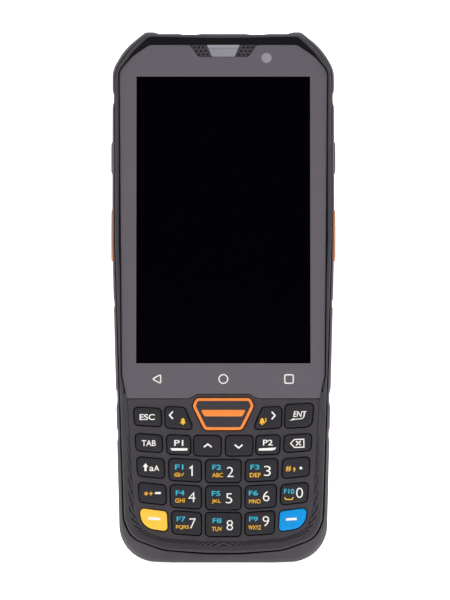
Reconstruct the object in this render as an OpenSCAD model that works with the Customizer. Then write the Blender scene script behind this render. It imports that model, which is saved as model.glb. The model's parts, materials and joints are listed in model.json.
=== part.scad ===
// Rugged handheld data terminal: a touch display above a keypad, with side keys,
// a bar code scan engine in its top end and a clip-on battery in its back.
// It stands on its lower end. X runs across it, Z up its length and the front faces -Y.
// All sizes are in millimetres.

/* [Body] */
// Overall length, from the lower end to the ears of the top bumper
body_l = 158.5; // [150:0.5:200]
// Width across the side bumpers near the top
body_w = 66.4; // [66:0.2:82]
// How much narrower the body is at its lower end than near its top
body_taper = 5; // [0:0.2:8]
// Height where the taper begins
taper_z = 95; // [60:1:110]
// Side wall of the two housings
wall = 1.5; // [1.2:0.1:2.2]
// Front wall of the keypad area
panel_t = 1.2; // [0.8:0.1:2]
// How far the keypad surface lies below the rim of the front
panel_drop = 0.65; // [0.3:0.05:1.5]
// Radius of the lower corners of the front housing
case_corner_r = 13; // [6:0.5:14]
// Depth of the front housing, from the rim back to the seam
front_depth = 5.8; // [5.4:0.1:6.6]

/* [Bumpers] */
// Thickness of the side bumpers
bumper_side_t = 1; // [0.6:0.1:2]
// Thickness of the top bumper
bumper_top_t = 1.2; // [0.8:0.1:3]
// Thickness of the bottom bumper
bumper_foot_t = 3; // [2:0.1:5]
// How far the bumpers reach front to back
bumper_depth = 11.6; // [9:0.2:13]
// Height of the two ears on the top corners
ear_h = 0.45; // [0.2:0.05:1.5]
// Half-width of the flat foot
foot_half_w = 15; // [10:0.5:18]

/* [Display] */
// Width of the picture area
display_w = 51.8; // [48:0.2:54]
// Length of the picture area
display_l = 85.6; // [80:0.2:88]
// Frame of the display module around the picture area
display_edge = 0.8; // [0.5:0.1:1.6]
// Thickness of the display module
display_t = 2.2; // [1.6:0.1:3]
// Thickness of the cover glass
glass_t = 1.1; // [0.7:0.05:1.6]
// Height of the rim over the glass
rim_h = 0.6; // [0.2:0.1:1]
// Width of the rim beside the upper end of the glass
rim_w = 1.2; // [1:0.1:2]
// Width of the rim beside the lower end of the glass
rim_low_w = 0.7; // [0.5:0.1:1.2]
// Width of the sloped rim above the glass
rim_top_w = 3.1; // [2:0.1:4]
// Distance from the top of the glass down to the picture area
display_drop = 9.5; // [8:0.1:12]
// Depth of the glass corner chamfers, measured along Z
glass_chamfer = 7.9; // [5:0.1:10]

/* [Keypad] */
// Height of the lower edge of the glass, where the keypad starts
keypad_l = 48.7; // [48:0.1:52]
// Height of the first row's centre line
first_row_z = 42.6; // [42:0.1:43]
// Height of a key over the keypad surface
key_proud = 0.6; // [0.4:0.05:0.65]
// Space round a key in the front wall
key_gap = 0.25; // [0.2:0.05:0.3]
// How far a key's flange reaches past its cap
flange_reach = 0.4; // [0.36:0.01:0.42]
// Thickness of a key's flange
flange_t = 0.5; // [0.3:0.05:0.6]
// How far a key goes down when it is pressed
key_travel = 0.4; // [0.2:0.05:0.5]
// Radius of a key's plunger
plunger_r = 1.1; // [0.8:0.1:1.3]
// Thickness of the silicone mat
mat_t = 0.4; // [0.3:0.05:0.5]
// Height of a metal dome
dome_h = 0.3; // [0.2:0.05:0.4]

/* [Side keys] */
// How far the side keys stand out of the bumpers
side_key_proud = 0.5; // [0.3:0.05:1]
// Front to back width of a side key
side_key_w = 4.4; // [3:0.1:5]
// Length of a scan key
scan_key_l = 15.6; // [12:0.1:18]
// Length of the volume and power keys
small_key_l = 9.6; // [8:0.1:11]
// Height of the scan keys' centre
scan_key_z = 97.7; // [92:0.1:100]
// Height of the volume and power keys' centre
small_key_z = 121.1; // [118:0.1:128]
// How far a side key goes in when it is pressed
side_travel = 0.5; // [0.3:0.05:0.6]

/* [Electronics] */
// Thickness of the metal mid frame
mid_frame_t = 1; // [0.6:0.1:1.4]
// Thickness of the main board
board_t = 1; // [0.8:0.1:1.2]
// Thickness of the keypad board
keypad_board_t = 0.6; // [0.4:0.1:0.8]
// Height of the shield cans
can_h = 1.6; // [1.2:0.1:2]
// Width of the USB-C mouth
usb_w = 8.94; // [8:0.02:10]
// Height of the USB-C mouth
usb_h = 3.26; // [2.8:0.02:3.6]

/* [Battery] */
// Width of the battery pack
battery_w = 49; // [40:0.5:50]
// Length of the battery pack
battery_l = 84; // [60:0.5:84]
// Thickness of the battery pack
battery_t = 6; // [4:0.1:8]
// Height of the battery's lower edge
battery_z = 21; // [18:0.5:23]
// Thickness of the battery cover
cover_t = 1.6; // [1.2:0.1:2.4]
// How far the cover reaches past the battery
cover_lap = 2; // [1.2:0.1:2.4]
// Floor of the battery bay
deck_t = 1; // [0.8:0.1:1.6]
// Side wall of the battery bay
bay_wall = 1.2; // [0.8:0.1:1.2]
// How far the latch slides
latch_travel = 2.5; // [1:0.1:3]

/* [Fits] */
// Space between parts that move past each other
play = 0.3; // [0.2:0.05:0.4]
// Space between parts that stay together
seat = 0.1; // [0.05:0.05:0.15]
// Radius of the housing screws
screw_r = 0.9; // [0.7:0.05:1]
// Radius of the screw heads
screw_head_r = 1.7; // [1.5:0.1:1.9]

/* [Hidden] */
// Segments of every full circle
$fn = 32;

// Layers from the front (-Y) to the back (+Y).
body_t = rim_h + glass_t + display_t + mid_frame_t + play + board_t + can_h + play
    + deck_t + play + battery_t + cover_t;
front_y = -body_t / 2;
back_y = body_t / 2;
glass_y = front_y + rim_h;
display_y = glass_y + glass_t;
mid_frame_y = display_y + display_t;
board_y = mid_frame_y + mid_frame_t + play;
can_y = board_y + board_t;
deck_y = can_y + can_h + play;
battery_y = deck_y + deck_t + play;
cover_y = back_y - cover_t;
seam_y = front_y + front_depth;

// Layers of the keypad.
panel_y = front_y + panel_drop;
key_y = panel_y - key_proud;
flange_y = panel_y + panel_t + play;
// Space over the mat when a key is down, and between a plunger and its dome
MAT_GAP = 0.2;
DOME_GAP = 0.1;
mat_y = flange_y + flange_t + key_travel + MAT_GAP;
plunger_end_y = mat_y + mat_t - DOME_GAP;
dome_y = plunger_end_y + key_travel + DOME_GAP;
keypad_board_y = dome_y + dome_h;

// The keypad is a straight grid bent by keypad_point().
// Distance of each row below the first one
ROW_DROP = [0, 8, 15.5, 23.4, 31.3];
// Height of the keys of each row at the centre line
ROW_H = [6.2, 5.9, 6.6, 6.8, 6.9];
// Rise of a row per square millimetre from the centre line: at the first row, and per millimetre below it
BOW = 0.0012;
BOW_GAIN = 0.000072;
// How much the columns draw in, per millimetre below the first row
LEAN = 0.00266;
// How much shorter a key gets, per square millimetre from the centre line
EDGE_SHRINK = 0.00028;
// Height of the enter key, which reaches further up than its row
ENTER_H = 8.2;
ENTER_RISE = 0.35;
// Corner radius of the keys
KEY_R = 1.1;
// Outer lower corner of the two coloured keys
COLOUR_KEY_R = 4.6;

// Name, row, place across, width and colour of each plain key
KEYS = [
    ["key_esc", 0, -22.4, 7.9, "dimgray"],
    ["key_enter", 0, 22.4, 8.1, "dimgray"],
    ["key_tab", 1, -22.5, 7.9, "dimgray"],
    ["key_p1", 1, -13.5, 7.1, "dimgray"],
    ["key_up", 1, -4.8, 8.1, "dimgray"],
    ["key_down", 1, 4.8, 8.1, "dimgray"],
    ["key_p2", 1, 13.5, 7.1, "dimgray"],
    ["key_backspace", 1, 22.5, 8.1, "dimgray"],
    ["key_shift", 2, -22.4, 8.2, "dimgray"],
    ["key_1", 2, -11.8, 9.8, "dimgray"],
    ["key_2", 2, 0, 10.8, "dimgray"],
    ["key_3", 2, 11.8, 9.8, "dimgray"],
    ["key_hash", 2, 22.4, 8.2, "dimgray"],
    ["key_star", 3, -22.4, 8.4, "dimgray"],
    ["key_4", 3, -11.8, 9.6, "dimgray"],
    ["key_5", 3, 0, 11, "dimgray"],
    ["key_6", 3, 11.8, 9.6, "dimgray"],
    ["key_0", 3, 22.4, 8.4, "dimgray"],
    ["key_yellow", 4, -22.4, 8.6, "gold"],
    ["key_7", 4, -11.8, 9.3, "dimgray"],
    ["key_8", 4, 0, 11.3, "dimgray"],
    ["key_9", 4, 11.8, 9.3, "dimgray"],
    ["key_blue", 4, 22.4, 8.6, "deepskyblue"]
];

// Right half of the scan key: x, z and corner radius
SCAN_KEY = [[5.6, 39.3, 1.6], [9.1, 46.4, 1.2], [8.1, 48.8, 1.4]];
// The key on the right of the scan key; the left one is its mirror image
ARROW_KEY = [[8.9, 39.5, 0.9], [17.1, 40.1, 1.1], [17.3, 46.2, 1.1], [11.6, 45.9, 0.9]];

// ---- Outlines in the XZ plane -------------------------------------------------

// Length of the bevel on the upper corners, down from the top
SHOULDER_DROP = 11.5;
shoulder_z = body_l - SHOULDER_DROP;
// Where the two flats of an upper corner meet, in from the side and down from the top
SHOULDER = [3.5, 5.1];
// Where the corner reaches the top, in from the side
SHOULDER_TOP = 9.7;
// Width of an ear
EAR_W = 4;
// How much further in the housing's lower end lies than its sides
LOW_INSET = 0.4;
// How much further in the housing's upper corners lie than its sides
CORNER_INSET = 0.7;
// Rise of the glass over the scan key, and its half-width at the top and bottom
NOTCH_H = 1.35;
NOTCH_HALF_W = [7.8, 10.2];
// Cut-out of the glass round the earpiece: half-width at the top and bottom, and its length
EAR_CUT = [10.1, 7.4];
EAR_CUT_L = 3.6;
// Half-width of the indicator light at the top and bottom
LIGHT_HALF_W = [4.9, 3.4];
// Slant at the lower corners of the glass
GLASS_SLANT = [1.5, 6.6];
glass_top = body_l - bumper_top_t - rim_top_w;

function side_x(z) = (body_w - body_taper * max(0, 1 - z / taper_z)) / 2;
function case_x(z) = side_x(z) - bumper_side_t;
function glass_x(z) = case_x(z) - rim_low_w - (rim_w - rim_low_w) * min(1, z / shoulder_z);
function unit(v) = v / norm(v);
function flat(p) = [p[0], p[1]];

// Arc of radius p[2] that replaces the corner p between its neighbours a and b
function corner_arc(a, p, b, steps) =
    let (
        u = unit(flat(a) - flat(p)),
        v = unit(flat(b) - flat(p)),
        half = acos(u * v) / 2,
        middle = flat(p) + unit(u + v) * p[2] / sin(half),
        out = flat(p) - middle,
        start = atan2(out[1], out[0]),
        turn = cross(u, v) < 0 ? 1 : -1
    )
    [for (k = [0 : steps])
        let (angle = start + turn * (90 - half) * (2 * k / steps - 1))
        middle + p[2] * [cos(angle), sin(angle)]];

// Outline through points [x, z, corner radius]
function rounded(points, steps = 6) =
    let (n = len(points))
    [for (i = [0 : n - 1])
        each (points[i][2] == 0
            ? [flat(points[i])]
            : corner_arc(points[(i + n - 1) % n], points[i], points[(i + 1) % n], steps))];

// Whole outline from its right half, listed from the bottom to the top
function mirrored(half) =
    concat(half, [for (i = [len(half) - 1 : -1 : 0]) [-half[i][0], half[i][1], half[i][2]]]);

module bumper_2d() {
    polygon(rounded(mirrored([
        [foot_half_w, 0, 0],
        [side_x(0), 0.6, case_corner_r - 2],
        [side_x(taper_z), taper_z, 0],
        [side_x(shoulder_z), shoulder_z, 3],
        [body_w / 2 - SHOULDER[0], body_l - SHOULDER[1], 10],
        [body_w / 2 - SHOULDER_TOP, body_l, 1.2],
        [body_w / 2 - SHOULDER_TOP - EAR_W + ear_h, body_l, 0.6],
        [body_w / 2 - SHOULDER_TOP - EAR_W, body_l - ear_h, 0]
    ])));
}

module case_2d(grow = 0) {
    offset(delta = grow)
        polygon(rounded(mirrored([
            [case_x(0) - LOW_INSET, bumper_foot_t, case_corner_r],
            [case_x(taper_z), taper_z, 0],
            [case_x(shoulder_z), shoulder_z - 0.4, 3],
            [case_x(shoulder_z) - SHOULDER[0] - CORNER_INSET, body_l - SHOULDER[1] - bumper_top_t + 0.3, 10],
            [body_w / 2 - SHOULDER_TOP - 0.4, body_l - bumper_top_t, 2]
        ])));
}

// Lower part of the glass outline, which its pocket shares
function glass_low_half() = [
    [NOTCH_HALF_W[0], keypad_l + NOTCH_H, 0.8],
    [NOTCH_HALF_W[1], keypad_l, 0.8],
    [glass_x(keypad_l) - GLASS_SLANT[0], keypad_l, 0.4],
    [glass_x(keypad_l), keypad_l + GLASS_SLANT[1], 2],
    [glass_x(shoulder_z), glass_top - glass_chamfer, 3],
    [body_w / 2 - SHOULDER_TOP - bumper_side_t - 0.5, glass_top, 1.5]
];

module glass_2d() {
    polygon(rounded(mirrored(concat(glass_low_half(), [
        [EAR_CUT[0], glass_top, 0],
        [EAR_CUT[1], glass_top - EAR_CUT_L, 1.2]
    ]))));
}

module pocket_2d(grow = 0) {
    offset(delta = grow) polygon(rounded(mirrored(glass_low_half())));
}

module keypad_2d() {
    polygon(rounded(mirrored([
        [case_x(0) - 3.3, 6.7, 10],
        [glass_x(keypad_l) - GLASS_SLANT[0] - 0.1, keypad_l, 0.4]
    ])));
}

// ---- The keypad grid ----------------------------------------------------------

// Bends a point of the straight grid: u across, v down from the first row
function keypad_point(u, v) =
    let (x = u * (1 - LEAN * v))
    [x, first_row_z - v + (BOW + BOW_GAIN * v) * x * x];

// Corner radii of a key, in the order of its corners
function key_radii(name) =
    name == "key_yellow" ? [KEY_R, KEY_R, KEY_R, COLOUR_KEY_R]
    : name == "key_blue" ? [KEY_R, KEY_R, COLOUR_KEY_R, KEY_R]
    : name == "key_enter" ? [KEY_R, KEY_R, 2 * KEY_R, KEY_R]
    : [KEY_R, KEY_R, KEY_R, KEY_R];

// The corners of a plain key with their radii, clockwise from its upper left
function key_corners(key) =
    let (
        enter = key[0] == "key_enter",
        v = ROW_DROP[key[1]] - (enter ? ENTER_RISE : 0),
        half_w = key[3] / 2,
        half_h = (enter ? ENTER_H : ROW_H[key[1]]) * (1 - EDGE_SHRINK * key[2] * key[2]) / 2,
        radii = key_radii(key[0]),
        signs = [[-1, -1], [1, -1], [1, 1], [-1, 1]]
    )
    [for (i = [0 : 3])
        concat(keypad_point(key[2] + signs[i][0] * half_w, v + signs[i][1] * half_h), radii[i])];

module key_2d(key) {
    polygon(rounded(key_corners(key), 4));
}

module scan_key_2d() {
    polygon(rounded(mirrored(SCAN_KEY), 4));
}

module arrow_key_2d() {
    polygon(rounded(ARROW_KEY, 4));
}

// Runs its children once for each key: first the plain ones, then the three special ones
module all_keys_2d(grow) {
    for (key = KEYS) offset(delta = grow) key_2d(key);
    offset(delta = grow) scan_key_2d();
    offset(delta = grow) arrow_key_2d();
    mirror([1, 0, 0]) offset(delta = grow) arrow_key_2d();
}

// Middle of each key, where its plunger and dome stand
ARROW_CENTRE = [13.7, 43];
SCAN_CENTRE = [0, 44];
KEY_CENTRES = concat(
    [for (key = KEYS) keypad_point(key[2], ROW_DROP[key[1]])],
    [SCAN_CENTRE, ARROW_CENTRE, [-ARROW_CENTRE[0], ARROW_CENTRE[1]]]
);

// ---- Building blocks ----------------------------------------------------------

// An XZ outline made solid from y0 back to y1
module slab(y0, y1) {
    translate([0, y1, 0]) rotate([90, 0, 0]) linear_extrude(y1 - y0) children();
}

// A YZ outline made solid from x0 out to x1
module side_slab(x0, x1) {
    translate([x0, 0, 0]) rotate([90, 0, 90]) linear_extrude(x1 - x0) children();
}

// An XY outline made solid from z0 up to z1
module plate(z0, z1) {
    translate([0, 0, z0]) linear_extrude(z1 - z0) children();
}

// A round bar along Y
module peg(x, z, r, y0, y1) {
    translate([x, y1, z]) rotate([90, 0, 0]) cylinder(r = r, h = y1 - y0);
}

module tile(x0, x1, y0, y1) {
    translate([x0, y0]) square([x1 - x0, y1 - y0]);
}

module round_tile(x0, x1, y0, y1, r) {
    polygon(rounded([[x0, y0, r], [x1, y0, r], [x1, y1, r], [x0, y1, r]], 5));
}

module both_sides() {
    children();
    mirror([1, 0, 0]) children();
}

// ---- Screws -------------------------------------------------------------------

// Right-hand screws, mirrored to the left: lower corner, waist and upper corner
SCREW_PLACES = [
    [case_x(14) - 3.1, 14],
    [case_x(keypad_l) - 2.4, keypad_l + 4.6],
    [case_x(shoulder_z) - 8.2, body_l - 8.2]
];
// Wall round a screw
POST_WALL = 0.8;
// How deep the screw heads lie under the back
HEAD_DEPTH = 3.4;
// Where the screws end, and the seats of their heads
screw_end_y = seam_y - 2;
screw_head_y = back_y - HEAD_DEPTH;

// ---- Housings and bumpers -----------------------------------------------------

// Bevel along the front edge of the housing and the back edge
FRONT_BEVEL = 0.9;
BACK_BEVEL = 2.4;
// Height of the side rails over the keypad surface
RAIL_H = 0.35;
// Thickness of the ledge that the glass is glued to
LEDGE_T = 0.8;
// Wall at the back, over the hollows
BACK_WALL = 1.6;
// Thickness of the ledge that the battery cover lies on
COVER_LEDGE = 1.2;
// The gasket and its groove
GASKET_W = 0.5;
GASKET_H = 0.5;
// Bevel of the bumpers
BUMPER_BEVEL = 1.2;
// Heights where the bumpers meet
bumper_low_z = 30;
bumper_high_z = body_l - 20;
bumper_y0 = -bumper_depth / 2;
bumper_y1 = bumper_depth / 2;

module gasket_2d(grow = 0) {
    difference() {
        case_2d(-(wall - GASKET_W) / 2 + grow);
        case_2d(-(wall + GASKET_W) / 2 - grow);
    }
}

// The front face before anything is cut out of it
module front_block() {
    hull() {
        slab(front_y + FRONT_BEVEL, seam_y) case_2d();
        slab(front_y, front_y + 0.05) case_2d(-FRONT_BEVEL);
    }
}

// The sloped hollow inside the rim, down to the glass
module rim_slope() {
    hull() {
        slab(front_y - 0.1, front_y) pocket_2d(0.5);
        slab(front_y - 0.1, front_y) translate([0, rim_top_w - 1.6]) pocket_2d(0.5);
        slab(glass_y, glass_y + 0.05) pocket_2d(2 * seat);
    }
}

// Where a post starts: just inside the keypad's panel, or just inside the ledge behind the glass
function post_y(z) = z < keypad_l ? panel_y + panel_t - 0.1 : display_y + 0.05;

module front_screw_posts() {
    both_sides()
        for (place = SCREW_PLACES)
            intersection() {
                peg(place[0], place[1], screw_r + POST_WALL, post_y(place[1]), seam_y);
                slab(front_y, seam_y) case_2d(-0.1);
            }
}

module front_housing() color("dimgray") difference() {
    union() {
        difference() {
            front_block();
            rim_slope();
            slab(front_y - 1, panel_y - RAIL_H) tile(-body_w, body_w, -1, keypad_l);
            slab(front_y - 1, panel_y) keypad_2d();
            slab(front_y - 1, display_y) pocket_2d(seat);
            slab(display_y + LEDGE_T, seam_y + 1) case_2d(-wall);
            slab(panel_y + panel_t, display_y + LEDGE_T + 0.1)
                intersection() {
                    case_2d(-wall);
                    tile(-body_w, body_w, -1, keypad_l - 0.8);
                }
            slab(panel_y + panel_t, display_y + LEDGE_T + 0.1)
                offset(delta = flange_reach + play) scan_key_2d();
            slab(front_y - 1, seam_y) display_2d(seat);
            slab(front_y - 1, panel_y + panel_t + 1) all_keys_2d(key_gap);
            slab(front_y, seam_y) offset(delta = seat) earpiece_2d();
            peg(CAMERA_PLACE[0], CAMERA_PLACE[1], CAMERA_R + seat, front_y, seam_y);
        }
        front_screw_posts();
    }
    slab(seam_y - GASKET_H, seam_y + 1) gasket_2d();
    both_sides()
        for (place = SCREW_PLACES)
            peg(place[0], place[1], screw_r + 0.02, screw_end_y - 0.2, seam_y + 1);
}

// The battery bay in XZ
module bay_2d(grow = 0) {
    tile(-battery_w / 2 - grow, battery_w / 2 + grow, battery_z - grow, battery_z + battery_l + grow);
}

module cover_2d(grow = 0) {
    reach = cover_lap + grow;
    round_tile(-battery_w / 2 - reach, battery_w / 2 + reach,
        battery_z - reach, battery_z + battery_l + reach, 3 + grow);
}

// Everything that is hollow inside the rear housing, apart from the battery bay
module rear_hollow() {
    slab(seam_y - 1, deck_y) case_2d(-wall);
    slab(deck_y - 0.1, cover_y - COVER_LEDGE)
        difference() {
            case_2d(-wall);
            bay_2d(play + bay_wall);
        }
    slab(cover_y - COVER_LEDGE - 0.1, back_y - BACK_WALL)
        difference() {
            case_2d(-wall);
            cover_2d(play + bay_wall);
        }
}

// The rear housing before anything is cut out of it
module rear_block() {
    hull() {
        slab(seam_y, back_y - BACK_BEVEL) case_2d();
        slab(back_y - 0.05, back_y) case_2d(-BACK_BEVEL);
    }
}

module rear_posts() {
    both_sides()
        for (place = SCREW_PLACES)
            peg(place[0], place[1], screw_head_r + POST_WALL, seam_y, back_y);
}

module rear_housing() color("dimgray") difference() {
    union() {
        difference() {
            rear_block();
            rear_hollow();
        }
        intersection() {
            rear_block();
            rear_posts();
        }
    }
    slab(deck_y + deck_t, back_y + 1) bay_2d(play);
    slab(cover_y - seat, back_y + 1) cover_2d(play);
    both_sides()
        for (place = SCREW_PLACES) {
            peg(place[0], place[1], screw_r + seat, seam_y - 1, back_y);
            peg(place[0], place[1], screw_head_r + seat, screw_head_y, back_y + 1);
        }
    both_sides() side_openings();
    scan_opening(seat);
    usb_opening(seat);
    slab(back_y - WINDOW_T, back_y + 1) camera_window_2d(seat);
    for (lens = CAMERA_LENSES) peg(lens[0], lens[1], lens[2] + seat, deck_y, back_y);
    for (x = DOCK_X) peg(x, DOCK_Z, DOCK_R + seat, deck_y, back_y + 1);
    for (hole = speaker_holes()) peg(hole[0], hole[1], SPEAKER_HOLE_R, deck_y, back_y + 1);
    slab(deck_y - 1, deck_y + deck_t + 1) contact_blades_2d(seat);
    slab(latch_y - seat, back_y + 1) latch_pocket_2d();
    slab(deck_y, back_y) latch_slot_2d();
}

// A ring round the housings with a stepped bevel, cut to a stretch of the body
module bumper_ring(z0, z1) {
    difference() {
        intersection() {
            union() {
                slab(bumper_y0 + BUMPER_BEVEL, bumper_y1 - BUMPER_BEVEL) bumper_2d();
                slab(bumper_y0 + BUMPER_BEVEL / 3, bumper_y1 - BUMPER_BEVEL / 3)
                    offset(delta = -BUMPER_BEVEL / 5) bumper_2d();
                slab(bumper_y0, bumper_y1) offset(delta = -BUMPER_BEVEL / 2) bumper_2d();
            }
            slab(bumper_y0 - 1, bumper_y1 + 1) tile(-body_w, body_w, z0, z1);
        }
        slab(bumper_y0 - 1, bumper_y1 + 1) case_2d();
    }
}

module bottom_bumper() color("gray") difference() {
    bumper_ring(-1, bumper_low_z);
    plate(-1, bumper_foot_t + 1)
        round_tile(-USB_MOUTH[0], USB_MOUTH[0], usb_y - USB_MOUTH[1], usb_y + USB_MOUTH[1], 2);
}

module side_bumpers() color("gray") difference() {
    bumper_ring(bumper_low_z + seat, bumper_high_z - seat);
    both_sides() side_openings();
}

module top_bumper() color("gray") difference() {
    bumper_ring(bumper_high_z, body_l + 1);
    scan_opening(1.2);
}

module gasket() color("black") slab(seam_y - GASKET_H, seam_y) gasket_2d();

module housing_screws() color("silver") both_sides() for (place = SCREW_PLACES) {
    peg(place[0], place[1], screw_r, screw_end_y, screw_head_y + 0.2);
    difference() {
        peg(place[0], place[1], screw_head_r, screw_head_y + seat, screw_head_y + 1.4);
        peg(place[0], place[1], screw_head_r / 2, screw_head_y + 0.8, screw_head_y + 2);
    }
}

// ---- Display and front --------------------------------------------------------

// The front camera behind the glass, right of the middle
CAMERA_X = 12.9;
CAMERA_DROP = 3.9;
CAMERA_PLACE = [CAMERA_X, glass_top - CAMERA_DROP];
CAMERA_R = 1.9;
// Length of its barrel, and half-width and half-height of its base
CAMERA_DEPTH = 2.4;
CAMERA_BASE = [3, 2.3];
display_z1 = glass_top - display_drop;
display_z0 = display_z1 - display_l;

module display_2d(grow = 0) {
    reach = display_edge + grow;
    tile(-display_w / 2 - reach, display_w / 2 + reach, display_z0 - reach, display_z1 + reach);
}

// Earpiece behind the grilles: half-width, its reach below the top of the glass, and thickness
EARPIECE_HALF_W = 5.6;
EARPIECE_DROP = [3.2, 0.6];
EARPIECE_T = 2;

module earpiece_2d() {
    tile(-EARPIECE_HALF_W, EARPIECE_HALF_W, glass_top - EARPIECE_DROP[0], glass_top - EARPIECE_DROP[1]);
}

module cover_glass() color("darkslategray") slab(glass_y, display_y) glass_2d();

module display_module() color("black") slab(display_y, mid_frame_y) display_2d();

// Gap between the keypad and the boards and plates above it, and reach of the mid frame's feet
KEYPAD_CLEAR = 2.2;
FOOT_REACH = 9;

// A plate that the display lies on, with feet on the housing's ledge
module mid_frame() color("silver") difference() {
    slab(mid_frame_y, mid_frame_y + mid_frame_t)
        difference() {
            intersection() {
                case_2d(-wall - play);
                tile(-body_w, body_w, keypad_l + KEYPAD_CLEAR, display_z1 + 2);
            }
            both_sides() translate(SCREW_PLACES[1]) circle(screw_r + POST_WALL + play);
        }
    slab(front_y, back_y) both_sides() tile(side_x(shoulder_z) - FOOT_REACH, body_w,
        keypad_l - 1, keypad_l + KEYPAD_CLEAR);
}

// Holes of the ear grilles: radius, steps across and down, and the place of the first one
EAR_HOLE_R = 0.32;
EAR_HOLE_STEP = 1.3;
EAR_ROW_STEP = 1.05;
EAR_HOLE_X = 6;
EAR_HOLE_DROP = 0.75;

module grille_2d() {
    polygon(rounded([
        [LIGHT_HALF_W[1] + seat, glass_top - EAR_CUT_L + seat, 0],
        [EAR_CUT[1] - seat, glass_top - EAR_CUT_L + seat, 1.1],
        [EAR_CUT[0] - seat, glass_top, 0],
        [LIGHT_HALF_W[0] + seat, glass_top, 0]
    ]));
}

// The right grille's holes: three rows of three, each row set in by half a step
module grille_holes() {
    for (row = [0 : 2])
        for (column = [0 : 2])
            peg(EAR_HOLE_X + (column - row / 2) * EAR_HOLE_STEP, glass_top - EAR_HOLE_DROP - row * EAR_ROW_STEP,
                EAR_HOLE_R, glass_y - 1, display_y + 1);
}

module ear_grilles() color("dimgray") both_sides() difference() {
    slab(glass_y + 0.15, display_y) grille_2d();
    grille_holes();
}

module indicator_light() color("lightgray") slab(glass_y + 0.05, display_y)
    polygon([
        [-LIGHT_HALF_W[1], glass_top - EAR_CUT_L + seat],
        [LIGHT_HALF_W[1], glass_top - EAR_CUT_L + seat],
        [LIGHT_HALF_W[0], glass_top],
        [-LIGHT_HALF_W[0], glass_top]
    ]);

module front_camera() color("black") {
    peg(CAMERA_PLACE[0], CAMERA_PLACE[1], CAMERA_R, display_y, display_y + CAMERA_DEPTH);
    slab(display_y + CAMERA_DEPTH, board_y)
        tile(CAMERA_PLACE[0] - CAMERA_BASE[0], CAMERA_PLACE[0] + CAMERA_BASE[0],
            CAMERA_PLACE[1] - CAMERA_BASE[1], CAMERA_PLACE[1] + CAMERA_BASE[1]);
}

// The earpiece and the loudspeaker
module speakers() color("silver") {
    slab(display_y, display_y + EARPIECE_T) earpiece_2d();
    slab(deck_y, back_y - BACK_WALL)
        round_tile(SPEAKER_PLACE[0] - SPEAKER_HALF[0], SPEAKER_PLACE[0] + SPEAKER_HALF[0],
            SPEAKER_PLACE[1] - SPEAKER_HALF[1], SPEAKER_PLACE[1] + SPEAKER_HALF[1], 1.5);
}

// ---- Keypad -------------------------------------------------------------------

// Bevel of the key tops
KEY_BEVEL = 0.25;

// A key: its cap, the flange that holds it in and the plunger that reaches its dome
module key_body(centre) {
    slab(key_y, key_y + KEY_BEVEL) offset(delta = -KEY_BEVEL) children();
    slab(key_y + KEY_BEVEL, flange_y) children();
    slab(flange_y, flange_y + flange_t) offset(delta = flange_reach) children();
    peg(centre[0], centre[1], plunger_r, flange_y + flange_t, plunger_end_y);
}

module plain_key(name) {
    for (key = KEYS)
        if (key[0] == name)
            color(key[4]) key_body(keypad_point(key[2], ROW_DROP[key[1]])) key_2d(key);
}

module key_scan() color("darkorange") key_body(SCAN_CENTRE) scan_key_2d();

module key_right() color("dimgray") key_body(ARROW_CENTRE) arrow_key_2d();

module key_left() mirror([1, 0, 0]) key_right();

// Outline of the keypad's mat and board, clear of the walls and the lower screws
KEYPAD_HALF_W = 25;

module keypad_board_2d(grow = 0) {
    offset(delta = grow) polygon(rounded(mirrored([
        [KEYPAD_HALF_W, bumper_foot_t + wall + 1, 9],
        [KEYPAD_HALF_W, keypad_l - 0.6, 1]
    ])));
}

module keypad_mat() color("gray") difference() {
    slab(mat_y, mat_y + mat_t) keypad_board_2d();
    for (centre = KEY_CENTRES) peg(centre[0], centre[1], plunger_r + play, mat_y - 1, mat_y + 1);
}

DOME_R = 2;

module key_domes() color("silver") for (centre = KEY_CENTRES)
    peg(centre[0], centre[1], DOME_R, dome_y, keypad_board_y);

module keypad_board() color("darkgreen") slab(keypad_board_y, keypad_board_y + keypad_board_t)
    keypad_board_2d(0.3);

// ---- Electronics --------------------------------------------------------------

board_z0 = keypad_l + KEYPAD_CLEAR;
board_half_w = battery_w / 2 + bay_wall;

module main_board() color("darkgreen") slab(board_y, can_y) difference() {
    intersection() {
        case_2d(-wall - play);
        tile(-board_half_w, board_half_w, board_z0, body_l);
    }
    both_sides() translate(SCREW_PLACES[2]) circle(screw_head_r + POST_WALL + play);
}

// Three cans over the processor, the radio and the power parts
module shield_cans() color("silver") slab(can_y, can_y + can_h) {
    round_tile(-20, -2, board_z0 + 42, board_z0 + 66, 0.6);
    round_tile(2, 20, board_z0 + 42, board_z0 + 60, 0.6);
    round_tile(-20, 8, board_z0 + 8, board_z0 + 34, 0.6);
}

// The scan engine and its window, left of the middle of the top end
SCAN_X = -2.4;
SCAN_HALF_W = 8;
SCAN_HALF_H = 3.2;
// Thickness of the window, length of the engine, and its lens and aimer: place across and radius
SCAN_WINDOW_T = 1.2;
ENGINE_L = 12.2;
ENGINE_LENSES = [[-3, 1.6], [3, 1.1]];
scan_y = (can_y + back_y) / 2;
window_top = body_l - bumper_top_t;

module scan_opening(grow) {
    plate(body_l - 12, body_l + 1)
        round_tile(SCAN_X - SCAN_HALF_W - grow, SCAN_X + SCAN_HALF_W + grow,
            scan_y - SCAN_HALF_H - grow, scan_y + SCAN_HALF_H + grow, 1.4);
}

module scan_window() color("darkred") plate(window_top - SCAN_WINDOW_T, window_top)
    round_tile(SCAN_X - SCAN_HALF_W, SCAN_X + SCAN_HALF_W, scan_y - SCAN_HALF_H, scan_y + SCAN_HALF_H, 1.4);

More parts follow.
